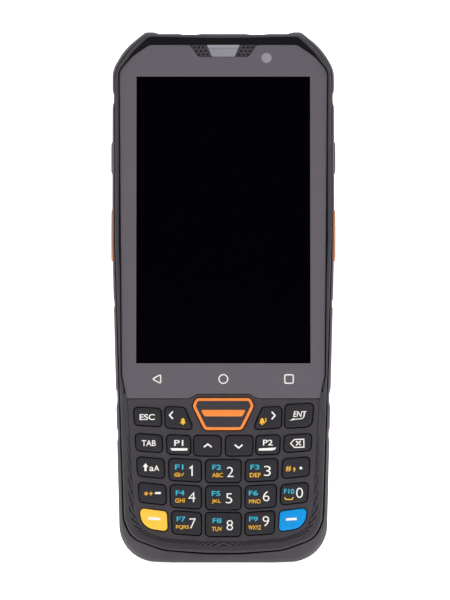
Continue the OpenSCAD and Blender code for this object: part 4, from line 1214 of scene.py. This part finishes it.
def indicator_window(colour):
    """Plain frosted window in front of the camera."""
    f = Finish("camera_frost", Specular_IOR_Level=0.3)
    frost = f.noise(0.1, 3.0)
    f.colour(f.mix(frost, shade(colour, 0.92), shade(colour, 1.05)))
    f.rough(f.between(frost, 0.3, 0.45))
    return f.material


# ---- Keys ----------------------------------------------------------------------------------------

# Where the caps end behind the keypad surface
CAP_BACK_Y = DECK_Y + 1.5
KEY_CROWN = 0.02


class TERMINAL_OT_keys(bpy.types.Operator):
    """Key caps of the keypad: satin plastic with rounded edges, one piece for each key"""
    bl_idname = "terminal.keys"
    bl_label = "Key caps"

    def execute(self, context):
        edge = sizes()["key_edge"]
        plain = key_plastic("key_cap", colour_of("key"))
        # Partly the caps' own dark sides and partly painted shade: the plain caps' sides are coloured nearly
        # black
        sides = painted_shade_plastic("key_sides", shade(colour_of("key"), 0.35))
        coloured = {"key_yellow": ("yellow_key", key_plastic("yellow_cap", colour_of("yellow"), 0.4, 0.03)),
                    "key_blue": ("blue_key", key_plastic("blue_cap", colour_of("blue"), 0.4, 0.03))}
        for name, outline in all_key_outlines().items():
            if name == "key_scan":
                continue
            slot, material = coloured.get(name, ("key", plain))
            cap = pillow(outline, KEY_Y, CAP_BACK_Y, edge, crown=KEY_CROWN)
            if name == "key_5":
                ridge = pillow(tile(-2.2, 2.2, 15.75, 16.15, 0.19, 4), KEY_Y - 0.02, KEY_Y + 0.2, 0.1)
                cap = together(cap, ridge)
            obj = object_of(name.replace("key_", "cap_"), cap)
            obj.data.materials.append(material)
            if slot == "key":
                obj.data.materials.append(sides)
                paint_steep(obj.data, 1, KEY_Y)
            finished(obj, None, name, (name,))
        return {"FINISHED"}


RIB_PITCH = 0.5
RIB_LEAN = math.radians(58)
RIB_CENTRE_Z = 44.0


def ribbed_rubber_painted_light(name, colour):
    """Rubber of the ribbed face with painted light: the same sine as the ribs paints a highlight on their
    tops and shade in their bottoms, and noise breaks the stripes up."""
    f = Finish(name, Specular_IOR_Level=0.3)
    x = f.maths("MULTIPLY", f.axis(0), math.sin(RIB_LEAN))
    z = f.maths("MULTIPLY", f.maths("SUBTRACT", f.axis(2), RIB_CENTRE_Z * MM), math.cos(RIB_LEAN))
    across = f.maths("SUBTRACT", x, z)
    wave = f.maths("SINE", f.maths("MULTIPLY", across, 2 * math.pi / (RIB_PITCH * MM)))
    share = f.maths("ADD", f.between(wave, 0.0, 0.85, -0.6, 0.8), f.between(f.noise(0.2), 0.0, 0.15))
    # Painted highlight on the rib tops and painted shade in their bottoms
    f.colour(f.mix(share, shade(colour, 0.35), shade(colour, 3.2)))
    f.rough(f.between(wave, 0.6, 0.42, -1.0, 1.0))
    return f.material


class TERMINAL_OT_scan_key(bpy.types.Operator):
    """Scan key: orange ring and bar round a dark face with fine slanted ribs"""
    bl_idname = "terminal.scan_key"
    bl_label = "Scan key"

    def execute(self, context):
        size = sizes()
        outline = rounded(mirrored(SCAN_KEY_HALF), 10)
        inner = grown(outline, -SCAN_RING_W)
        cap = object_of("cap_scan", pillow(outline, KEY_Y - 0.02, CAP_BACK_Y, size["key_edge"]))
        combine(cap, slab(inner, KEY_Y - 1, KEY_Y + 0.35))
        orange = key_plastic("orange_cap", colour_of("orange"), 0.33, 0.03)
        finished(cap, orange, "key_scan", ("key_scan",))
        face = object_of("scan_key_face", self.ribbed_face())
        combine(face, slab(grown(inner, -0.02), KEY_Y - 1, KEY_Y + 0.34), "INTERSECT")
        finished(face, ribbed_rubber_painted_light("scan_key_rubber", colour_of("key")), "key_scan")
        bar = rounded(mirrored([(5.55, 43.35, 0.35), (6.75, 45.3, 0.35)]), 6)
        bar = object_of("scan_key_bar", pillow(bar, KEY_Y - 0.04, KEY_Y + 0.3, 0.1))
        finished(bar, orange, "key_scan")
        return {"FINISHED"}

    def ribbed_face(self):
        """A plate with ribs: height is a sine of the distance across them, and they lean to the right."""
        pitch, lean, reach = RIB_PITCH, RIB_LEAN, 12.0
        across = np.arange(-reach, reach, pitch / 8)
        height = KEY_Y + 0.12 - 0.09 * np.sin(2 * math.pi * across / pitch)
        along = np.array([math.cos(lean), math.sin(lean)])
        side = np.array([along[1], -along[0]])
        centre = np.array([0, RIB_CENTRE_Z])
        rings = []
        for end in (-reach, reach):
            row = centre + along * end + across[:, None] * side
            top = np.stack([row[:, 0], height, row[:, 1]], 1)
            base = np.stack([row[:, 0], np.full(len(row), KEY_Y + 0.6), row[:, 1]], 1)[::-1]
            rings.append(np.vstack([top, base]))
        return loft(rings)


# ---- Legends -------------------------------------------------------------------------------------

# Key: its texts as (words, x, z, width, height, ink, lean)
TEXTS = {
    "key_esc": [("ESC", -22.56, 43.15, 4.5, 1.75, 0, 0)],
    "key_tab": [("TAB", -22.1, 35.44, 4.2, 1.75, 0, 0)],
    "key_enter": [("ENT", 22.7, 44.05, 4.0, 1.7, 0, 0.2)],
    "key_p1": [("P1", -13.2, 35.5, 2.7, 1.7, 0, 0)],
    "key_p2": [("P2", 13.2, 35.6, 2.9, 1.7, 0, 0)],
    "key_shift": [("a", -21.25, 27.8, 1.25, 1.3, 0, 0), ("A", -19.75, 28.03, 1.55, 1.7, 0, 0)],
    "key_1": [("F1", -13.07, 28.38, 2.5, 1.45, 1, 0), ("@:/", -13.1, 26.1, 2.9, 1.25, 2, 0)],
    "key_2": [("2", 2.04, 26.9, 2.0, 3.0, 0, 0), ("F2", -1.95, 28.3, 2.65, 1.45, 1, 0),
              ("ABC", -1.7, 25.98, 3.2, 1.25, 2, 0)],
    "key_3": [("3", 13.04, 27.2, 2.05, 3.0, 0, 0), ("F3", 9.35, 28.32, 2.65, 1.45, 1, 0),
              ("DEF", 9.45, 25.98, 3.2, 1.25, 2, 0)],
    "key_4": [("4", -9.31, 19.5, 2.1, 3.0, 0, 0), ("F4", -12.79, 20.74, 2.6, 1.45, 1, 0),
              ("GHI", -12.85, 18.47, 2.85, 1.25, 2, 0)],
    "key_5": [("5", 1.68, 19.1, 1.9, 3.0, 0, 0), ("F5", -2.15, 20.54, 2.55, 1.45, 1, 0),
              ("JKL", -2.06, 18.14, 2.75, 1.25, 2, 0)],
    "key_6": [("6", 12.7, 19.74, 1.95, 3.0, 0, 0), ("F6", 8.9, 20.66, 2.7, 1.45, 1, 0),
              ("MNO", 9.31, 18.2, 3.45, 1.25, 2, 0)],
    "key_0": [("0", 22.58, 20.74, 2.05, 3.0, 0, 0), ("F10", 19.49, 21.16, 3.0, 1.45, 1, 0)],
    "key_7": [("7", -9.07, 11.69, 1.95, 3.0, 0, 0), ("F7", -12.48, 12.97, 2.65, 1.45, 1, 0),
              ("PQRS", -12.1, 10.57, 3.8, 1.25, 2, 0)],
    "key_8": [("8", 1.91, 11.16, 1.95, 3.0, 0, 0), ("F8", -1.85, 12.52, 2.65, 1.45, 1, 0),
              ("TUV", -1.88, 10.04, 3.1, 1.25, 2, 0)],
    "key_9": [("9", 12.6, 12.34, 1.95, 3.0, 0, 0), ("F9", 8.95, 12.99, 2.65, 1.45, 1, 0),
              ("WXYZ", 9.3, 10.5, 3.8, 1.25, 2, 0)],
    "key_hash": [("#", 19.3, 27.85, 1.6, 1.7, 2, 0), (",", 21.04, 27.6, 0.6, 1.3, 2, 0)],
    "key_star": [("*", -22.87, 20.5, 1.15, 1.2, 2, 0), ("+", -21.4, 20.5, 1.15, 1.15, 2, 0)],
}
# How far letters are thickened, against their height
BOLD_LARGE = -0.01
BOLD_SMALL = 0.018


def moved(points, x0, z0):
    """Points drawn about the origin, moved to a place."""
    return [(x0 + x, z0 + z) for x, z in points]


def marks_of_keys(y, back):
    """The drawn marks of each key, as (ink, solid) pairs: arrows, bars, bells and outlines."""
    def line(points, width=0.5, closed=False):
        return tape(points, width, y, back, closed)

    def patch(points):
        return slab(anticlockwise(np.array(points, float)), y, back)

    bell = [(-0.95, -0.75), (-0.6, -0.35), (-0.5, 0.35), (-0.2, 0.75), (0.2, 0.75), (0.5, 0.35), (0.6, -0.35),
            (0.95, -0.75)]
    arrow = [(-0.33, -1.13), (0.33, -1.13), (0.33, 0.15), (0.85, 0.15), (0, 1.2), (-0.85, 0.15),
             (-0.33, 0.15)]
    wave = [(0.75, -0.5), (1.15, -0.1), (1.2, 0.35), (0.95, 0.75)]
    return {
        "key_left": [(0, line([(-14.95, 44.8), (-15.95, 43.7), (-14.95, 42.6)], 0.42)),
                     (2, patch(moved(bell, -11.95, 42.05))),
                     (2, slab(circle(-11.95, 41.1, 0.3, 20), y, back))],
        "key_right": [(0, line([(14.35, 44.7), (15.35, 43.6), (14.35, 42.5)], 0.42)),
                      (2, patch(moved(bell, 11.5, 42.05))),
                      (2, slab(circle(11.5, 41.1, 0.3, 20), y, back)),
                      (2, line(moved(wave, 11.5, 42.1), 0.28))],
        "key_up": [(0, line([(-5.75, 34.25), (-4.6, 35.15), (-3.45, 34.25)], 0.45))],
        "key_down": [(0, line([(3.4, 34.95), (4.55, 34.0), (5.7, 34.95)], 0.45))],
        "key_p1": [(0, patch([(-15.75, 33.95), (-10.6, 33.95), (-10.6, 33.4), (-10.9, 33.2),
                              (-15.2, 33.2)]))],
        "key_p2": [(0, patch([(15.7, 34.15), (10.55, 33.85), (10.5, 33.2), (14.6, 33.25), (15.3, 33.5)]))],
        "key_enter": [(0, line([(24.2, 44.5), (23.95, 43.3), (23.35, 42.7), (20.9, 42.45)], 0.26)),
                      (0, patch([(21.1, 42.6), (20.9, 42.85), (19.6, 42.1), (21.1, 42.3)]))],
        "key_backspace": [(0, line([(19.95, 35.35), (21.05, 36.5), (23.85, 36.6), (23.9, 34.25),
                                    (21.1, 34.15)], 0.32, True)),
                          (0, line([(21.55, 34.75), (22.95, 36.1)], 0.4)),
                          (0, line([(21.55, 36.05), (22.95, 34.8)], 0.4))],
        "key_1": [(0, line([(-10.0, 27.9), (-9.25, 28.55), (-9.25, 25.7)], 0.42))],
        "key_shift": [(0, patch(moved(arrow, -23.05, 28.3)))],
        "key_hash": [(0, slab(circle(22.96, 28.06, 0.42, 24), y, back))],
        "key_star": [(0, line([(-20.25, 20.68), (-18.5, 20.68)], 0.6))],
        "key_0": [(2, line([(18.2, 19.4), (18.45, 18.8), (20.35, 18.75), (20.7, 19.45)], 0.3))],
        "key_yellow": [(0, line([(-22.25, 13.2), (-18.65, 13.0)], 0.78))],
        "key_blue": [(0, line([(18.55, 12.85), (21.7, 13.05)], 0.72))],
    }


def letters(words, x, z, width, height, lean, y, back):
    """Text as a solid: the font's outline filled, thickened, fitted to its width and height and
    moved to its place, its points merged so that its seams are closed."""
    curve = bpy.data.curves.new("letters", "FONT")
    curve.body = words
    curve.align_x = "CENTER"
    curve.align_y = "CENTER"
    curve.size = height / 0.729
    curve.shear = lean
    curve.offset = (BOLD_LARGE if height > 2 else BOLD_SMALL) * height
    curve.space_character = 0.98
    curve.extrude = (back - y) / 2
    curve.resolution_u = 6
    words_object = bpy.data.objects.new("letters", curve)
    bpy.context.scene.collection.objects.link(words_object)
    bpy.context.view_layer.update()
    mesh = bpy.data.meshes.new_from_object(words_object.evaluated_get(bpy.context.evaluated_depsgraph_get()))
    co = np.empty(len(mesh.vertices) * 3)
    mesh.vertices.foreach_get("co", co)
    co = co.reshape(-1, 3)
    middle = (co.max(0) + co.min(0)) / 2
    size = co.max(0) - co.min(0)
    points = np.stack([x + (co[:, 0] - middle[0]) * width / size[0], (y + back) / 2 - co[:, 2],
                       z + (co[:, 1] - middle[1]) * height / size[1]], 1)
    faces = [list(p.vertices) for p in mesh.polygons]
    bpy.data.objects.remove(words_object)
    bpy.data.curves.remove(curve)
    bpy.data.meshes.remove(mesh)
    return welded(points, faces)


def welded(points, faces):
    """Merges points that share a place, and drops faces that this leaves with fewer than three."""
    _, first, same = np.unique(np.round(points, 5), axis=0, return_index=True, return_inverse=True)
    same = same.ravel()
    kept = []
    for face in faces:
        corners = list(dict.fromkeys(int(same[i]) for i in face))
        if len(corners) > 2:
            kept.append(corners)
    return points[first], kept


class TERMINAL_OT_legends(bpy.types.Operator):
    """Printed legends: digits, generic words and marks in three inks, one piece for each key"""
    bl_idname = "terminal.legends"
    bl_label = "Legends"

    def execute(self, context):
        y = KEY_Y - sizes()["ink"]
        back = KEY_Y + 0.08
        inks = [printed_ink(name, colour_of(name)) for name in ("white_ink", "cyan_ink", "yellow_ink")]
        marks = marks_of_keys(y, back)
        for key in sorted(set(TEXTS) | set(marks)):
            solids = [(ink, letters(words, x, z, width, height, lean, y, back))
                      for words, x, z, width, height, ink, lean in TEXTS.get(key, [])] + marks.get(key, [])
            obj = object_of(key.replace("key_", "legend_"), together(*[solid for _, solid in solids]))
            for ink in inks:
                obj.data.materials.append(ink)
            index = np.concatenate([np.full(len(solid[1]), ink) for ink, solid in solids])
            obj.data.polygons.foreach_set("material_index", index.astype(np.int32))
            obj.data.set_sharp_from_angle(angle=SMOOTH_ANGLE)
            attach(obj, key)
        return {"FINISHED"}


# ---- Side keys -----------------------------------------------------------------------------------

class TERMINAL_OT_side_keys(bpy.types.Operator):
    """Side keys: orange scan keys with dark ribbed grips, and dark volume and power keys"""
    bl_idname = "terminal.side_keys"
    bl_label = "Side keys"

    def execute(self, context):
        orange = key_plastic("orange_side", colour_of("orange"), 0.35, 0.03)
        dark = soft_rubber("side_key_rubber", shade(colour_of("key"), 0.75), 0.5)
        for node, side in SIDE_KEYS:
            face = side * max(abs(low(node)[0]), abs(high(node)[0]))
            scan = "scan" in node
            cap = pillow(side_key_outline(node), face, face - side * 3.2, 0.55, "x", crown=0.05)
            obj = object_of(node.replace("_key", "_cap"), cap)
            finished(obj, orange if scan else dark, node, (node,))
            self.grip(node, side, face, scan, dark)
        return {"FINISHED"}

    def grip(self, node, side, face, scan, dark):
        """Ribs across the middle of a scan key, or marks on the ends of a small key."""
        z = (low(node)[2] + high(node)[2]) / 2
        y0, y1 = low(node)[1] + 1.0, high(node)[1] - 1.0
        ribs = []
        if scan:
            pad = tile(y0, y1, z - 3.1, z + 3.1, 0.8)
            ribs.append(pillow(pad, face - side * 0.02, face - side * 1.2, 0.2, "x"))
            ribs += [pillow(tile(y0 + 0.5, y1 - 0.5, z + k - 0.25, z + k + 0.25, 0.24, 4),
                            face, face - side * 0.5, 0.12, "x") for k in (-2, -1, 0, 1, 2)]
        else:
            ribs += [pillow(tile(y0 + 0.8, y1 - 0.8, z + k - 0.2, z + k + 0.2, 0.19, 4), face,
                            face - side * 0.5, 0.1, "x") for k in (-2.6, 2.6)]
        grip = object_of(node.replace("_key", "_grip"), together(*ribs))
        finished(grip, dark, node)


# ---- Battery and latch ---------------------------------------------------------------------------

class TERMINAL_OT_battery(bpy.types.Operator):
    """Battery cover with grip grooves and a blank rating plate, and the ribbed latch above it"""
    bl_idname = "terminal.battery"
    bl_label = "Battery cover and latch"

    def execute(self, context):
        cover_outline = seat_of(COVER_LOW, COVER_HIGH, 0, 3, 10)
        cover = object_of("battery_lid", pillow(cover_outline, BACK_Y, COVER_LOW[1], 0.45))
        middle = (COVER_LOW[2] + COVER_HIGH[2]) / 2
        combine(cover, together(*self.grooves(COVER_HIGH[2] - 30, 9)))
        combine(cover, together(*self.grooves(COVER_LOW[2] + 6, 4)))
        plate = tile(-17, 17, middle - 14, middle + 4, 1.2)
        combine(cover, slab(plate, BACK_Y - 0.25, BACK_Y + 1))
        finish = spark_plastic("battery_cover", shade(colour_of("rear"), 0.82), 0.6)
        finished(cover, finish, "battery", ("battery_cover",))
        evened(cover)
        label = object_of("rating_plate", pillow(grown(plate, -0.25), BACK_Y - 0.15, BACK_Y - 0.4, 0.05))
        finished(label, printed_ink("plate_film", srgb(92, 90, 94)), "battery")
        self.latch()
        return {"FINISHED"}

    def grooves(self, start, count):
        """Straight grooves with round bottoms and ends: half-round bars across the cover."""
        half_l, half_w, depth, pitch = 20, 0.55, 0.4, 2.6
        bars = []
        for k in range(count):
            z = start + pitch * k
            outline = tile(-half_l, half_l, z - half_w, z + half_w, half_w - 0.01, 8)
            rings = [ring(outline, BACK_Y + 1), ring(outline, BACK_Y)]
            rings += [ring(grown(outline, -half_w * (1 - math.cos(a))), BACK_Y - depth * math.sin(a))
                      for a in (0.4, 0.8, 1.2)]
            bars.append(loft(rings))
        return bars

    def latch(self):
        """The latch: a rounded slider with five grooves across it."""
        lo, hi = low("battery_latch"), high("battery_latch")
        slider = object_of("latch_slider", pillow(seat_of(lo, hi, 0, 1, 8), hi[1], hi[1] - 1, 0.3))
        middle = (lo[2] + hi[2]) / 2
        cuts = [slab(tile(k - 0.3, k + 0.3, middle - 1.6, middle + 1.6, 0.29, 4), hi[1] - 0.35, hi[1] + 1)
                for k in (-4, -2, 0, 2, 4)]
        combine(slider, together(*cuts))
        stem = slab(tile(-2.5, 2.5, middle - 1.5, middle + 1.5, 0.3, 3), lo[1], hi[1] - 0.9)
        combine(slider, stem, "UNION")
        finished(slider, spark_plastic("latch", srgb(38, 36, 40), 0.45), "latch", ("battery_latch",))
        evened(slider)


# ---- Windows -------------------------------------------------------------------------------------

class TERMINAL_OT_windows(bpy.types.Operator):
    """Rear camera window with its lens and flash, and the scan window in the top end"""
    bl_idname = "terminal.windows"
    bl_label = "Windows"

    def execute(self, context):
        lo, hi = low("camera_window"), high("camera_window")
        outline = seat_of(lo, hi, 0, 2.6, 10)
        window = object_of("rear_window", pillow(outline, hi[1] + 0.1, lo[1], 0.2))
        combine(window, together(*[slab(circle(x, z, r - 0.3), lo[1] - 1, hi[1] + 1) for x, z, r in LENSES]))
        glass = gloss_window("camera_glass", srgb(26, 26, 30), 0.1)
        finished(window, glass, "case", ("camera_window",))
        evened(window)
        x, z, r = LENSES[0]
        y = hi[1]
        barrel = [(r - 0.31, y - 2.6), (r - 0.31, y - 0.15), (r - 0.5, y - 0.05), (r - 0.9, y - 0.1),
                  (r - 1.0, y - 0.5), (r - 1.25, y - 0.55), (r - 1.3, y - 0.9), (r - 1.6, y - 1.0),
                  (0.3, y - 1.05)]
        ring_piece = object_of("rear_lens_barrel", turned(barrel, x, z, 64))
        finished(ring_piece, metal("lens_barrel", srgb(70, 70, 76), 0.3), "case")
        dome = [(r - 1.62, y - 1.1)] + [(1.55 * math.cos(a), y - 1.0 + 0.5 * math.sin(a))
                                        for a in np.linspace(0.05, 1.5, 10)]
        lens = object_of("rear_lens", turned(dome, x, z, 64))
        finished(lens, gloss_window("lens_glass", srgb(20, 18, 44), 0.03), "case")
        x, z, r = LENSES[1]
        flash = [(r - 0.32, y - 1.2), (r - 0.32, y - 0.2), (r - 0.45, y - 0.12), (0.6, y - 0.05),
                 (0.1, y - 0.04)]
        led = object_of("flash_lens", turned(flash, x, z, 48))
        finished(led, indicator_window(srgb(226, 220, 178)), "case")
        lo, hi = low("scan_window"), high("scan_window")
        outline = tile(lo[0], hi[0], lo[1], hi[1], 1.4, 8)
        scan = object_of("scan_glass", pillow(outline, hi[2], lo[2], 0.2, "z"))
        red = gloss_window("scan_window", srgb(70, 8, 12), 0.05)
        finished(scan, red, "case", ("scan_window",))
        evened(scan)
        return {"FINISHED"}


# ---- CAD nodes that show as they are -------------------------------------------------------------

class TERMINAL_OT_inner_parts(bpy.types.Operator):
    """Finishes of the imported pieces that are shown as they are"""
    bl_idname = "terminal.inner_parts"
    bl_label = "Inner parts"

    def execute(self, context):
        finishes = self.finishes()
        for part in frame["record"]["subparts"]:
            node = frame["nodes"][part["node"]]
            if part["material_slot"] in finishes:
                node.data.materials.clear()
                node.data.materials.append(finishes[part["material_slot"]])
        return {"FINISHED"}

    def finishes(self):
        """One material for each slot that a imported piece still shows."""
        return {
            "silicone": soft_rubber("silicone", srgb(44, 43, 46), 0.6),
            "display": gloss_window("display_panel", srgb(6, 6, 8), 0.12),
            "mid_frame": metal("mid_frame", srgb(196, 196, 200), 0.42, 0.15),
            "grille": spark_plastic("grille", colour_of("front"), 0.5),
            "indicator": indicator_finish(colour_of("indicator")),
            "camera": gloss_window("camera_barrel", srgb(22, 22, 26), 0.2),
            "contact_metal": metal("steel_contact", srgb(205, 205, 208), 0.28),
            "circuit_board": board_mask("solder_mask", srgb(18, 74, 42)),
            "shield": metal("shield_can", srgb(200, 202, 204), 0.35, 0.2),
            "speaker": spark_plastic("speaker_box", srgb(36, 36, 38), 0.5),
            "engine": spark_plastic("engine_box", srgb(30, 30, 33), 0.45),
            "battery_wrap": spark_plastic("battery_wrap", srgb(40, 42, 46), 0.5, 0.3),
            "gold_contact": metal("gold_contact", srgb(224, 180, 92), 0.25),
        }


# ---- Stage ---------------------------------------------------------------------------------------

CAMERA_DISTANCE = 0.9
CAMERA_TILT = math.radians(2.97)
CAMERA_FOV = math.radians(11.31)
CAMERA_AIM = Vector((0.0005, FRONT_Y * MM, 0.0779))


class TERMINAL_OT_stage(bpy.types.Operator):
    """Pale seamless floor, soft studio lights and the camera"""
    bl_idname = "terminal.stage"
    bl_label = "Stage"

    def execute(self, context):
        self.floor()
        self.light("overhead", (0.0, -0.16, 0.85), 0.8, 0.5, 4.6)
        self.light("left_box", (-0.8, -0.4, 0.32), 0.5, 0.8, 1.75)
        self.light("right_box", (0.8, -0.4, 0.32), 0.5, 0.8, 1.25)
        self.light("back_box", (0.25, 0.8, 0.5), 0.8, 0.6, 5.0)
        self.camera(context.scene)
        self.world(context.scene)
        context.scene.view_settings.view_transform = "Standard"
        return {"FINISHED"}

    def floor(self):
        """A sheet that lies flat and bends up behind: its height is zero up to the bend, then a
        quarter circle, then straight up."""
        bend, radius = 0.75, 0.5
        angle = np.linspace(0, math.pi / 2, 13)
        curve = np.stack([bend + radius * np.sin(angle), radius * (1 - np.cos(angle))], 1)
        profile = np.vstack([[-3.0, 0.0], curve, [bend + radius, 2.4]])
        across = np.array([-2.5, 2.5])
        grid = np.stack(np.broadcast_arrays(across[:, None], profile[:, 0], profile[:, 1]), -1)
        index = np.arange(grid[..., 0].size).reshape(grid.shape[:2])
        quads = np.stack([index[:-1, :-1], index[1:, :-1], index[1:, 1:], index[:-1, 1:]], -1).reshape(-1, 4)
        sheet = object_of("studio_floor", (grid.reshape(-1, 3) / MM, quads.tolist()))
        sheet.data.polygons.foreach_set("use_smooth", np.ones(len(quads), bool))
        f = Finish("studio_paper", Specular_IOR_Level=0.1, Emission_Color=(1, 1, 1, 1), Emission_Strength=0.8)
        paper = f.noise(40.0, 2.0)
        f.colour(f.mix(paper, (0.86, 0.86, 0.86), (0.9, 0.9, 0.9)))
        f.rough(0.9)
        sheet.data.materials.append(f.material)

    def light(self, name, place, width, height, power):
        """A soft box that looks at the middle of the terminal."""
        data = bpy.data.lights.new(name, "AREA")
        data.shape = "RECTANGLE"
        data.size, data.size_y, data.energy = width, height, power
        obj = bpy.data.objects.new(name, data)
        obj.location = place
        aim = Vector((0, 0, BODY_L / 2 * MM)) - Vector(place)
        obj.rotation_euler = aim.to_track_quat("-Z", "Y").to_euler()
        bpy.context.scene.collection.objects.link(obj)

    def camera(self, scene):
        """The camera stands in front, a little below the middle, and looks slightly up."""
        data = bpy.data.cameras.new("camera")
        data.sensor_fit = "VERTICAL"
        data.sensor_height = 24
        data.lens = data.sensor_height / 2 / math.tan(CAMERA_FOV / 2)
        obj = bpy.data.objects.new("camera", data)
        back = Vector((0, -math.cos(CAMERA_TILT), -math.sin(CAMERA_TILT)))
        obj.location = CAMERA_AIM + back * CAMERA_DISTANCE
        obj.rotation_euler = (math.pi / 2 + CAMERA_TILT, 0, 0)
        scene.collection.objects.link(obj)
        scene.camera = obj

    def world(self, scene):
        """White surroundings with a dark patch in front of the terminal, as an open studio has."""
        world = bpy.data.worlds.new("studio")
        world.use_nodes = True
        nodes, links = world.node_tree.nodes, world.node_tree.links
        direction = nodes.new("ShaderNodeTexCoord").outputs["Generated"]
        split = nodes.new("ShaderNodeSeparateXYZ")
        links.new(direction, split.inputs[0])
        spread = nodes.new("ShaderNodeMapRange")
        spread.interpolation_type = "SMOOTHSTEP"
        for socket, value in (("From Min", -0.93), ("From Max", -0.6), ("To Min", 0.01), ("To Max", 0.24)):
            spread.inputs[socket].default_value = value
        links.new(split.outputs["Y"], spread.inputs["Value"])
        links.new(spread.outputs["Result"], nodes["Background"].inputs["Strength"])
        nodes["Background"].inputs["Color"].default_value = (1, 1, 1, 1)
        scene.world = world


# ---- The add-on ----------------------------------------------------------------------------------

PIECES = (TERMINAL_OT_stage, TERMINAL_OT_front_housing, TERMINAL_OT_rear_housing, TERMINAL_OT_bumpers,
          TERMINAL_OT_screws, TERMINAL_OT_cover_glass, TERMINAL_OT_keys, TERMINAL_OT_scan_key,
          TERMINAL_OT_legends, TERMINAL_OT_side_keys, TERMINAL_OT_battery, TERMINAL_OT_windows,
          TERMINAL_OT_inner_parts)


class TERMINAL_PT_panel(bpy.types.Panel):
    """Settings and pieces of the data terminal"""
    bl_label = "Data terminal"
    bl_idname = "TERMINAL_PT_panel"
    bl_space_type = "VIEW_3D"
    bl_region_type = "UI"
    bl_category = "Terminal"

    def draw(self, context):
        for group in (context.scene.terminal_sizes, context.scene.terminal_colours):
            column = self.layout.column(align=True)
            for name in group.__annotations__:
                column.prop(group, name)
        for piece in PIECES:
            self.layout.operator(piece.bl_idname)


CLASSES = (TerminalSizes, TerminalColours, *PIECES, TERMINAL_PT_panel)


def register():
    for cls in CLASSES:
        bpy.utils.register_class(cls)
    bpy.types.Scene.terminal_sizes = PointerProperty(type=TerminalSizes)
    bpy.types.Scene.terminal_colours = PointerProperty(type=TerminalColours)


def unregister():
    del bpy.types.Scene.terminal_colours
    del bpy.types.Scene.terminal_sizes
    for cls in reversed(CLASSES):
        bpy.utils.unregister_class(cls)


def main():
    """Builds every piece in order."""
    register()
    for piece in PIECES:
        group, name = piece.bl_idname.split(".")
        getattr(getattr(bpy.ops, group), name)()


if __name__ == "__main__":
    main()
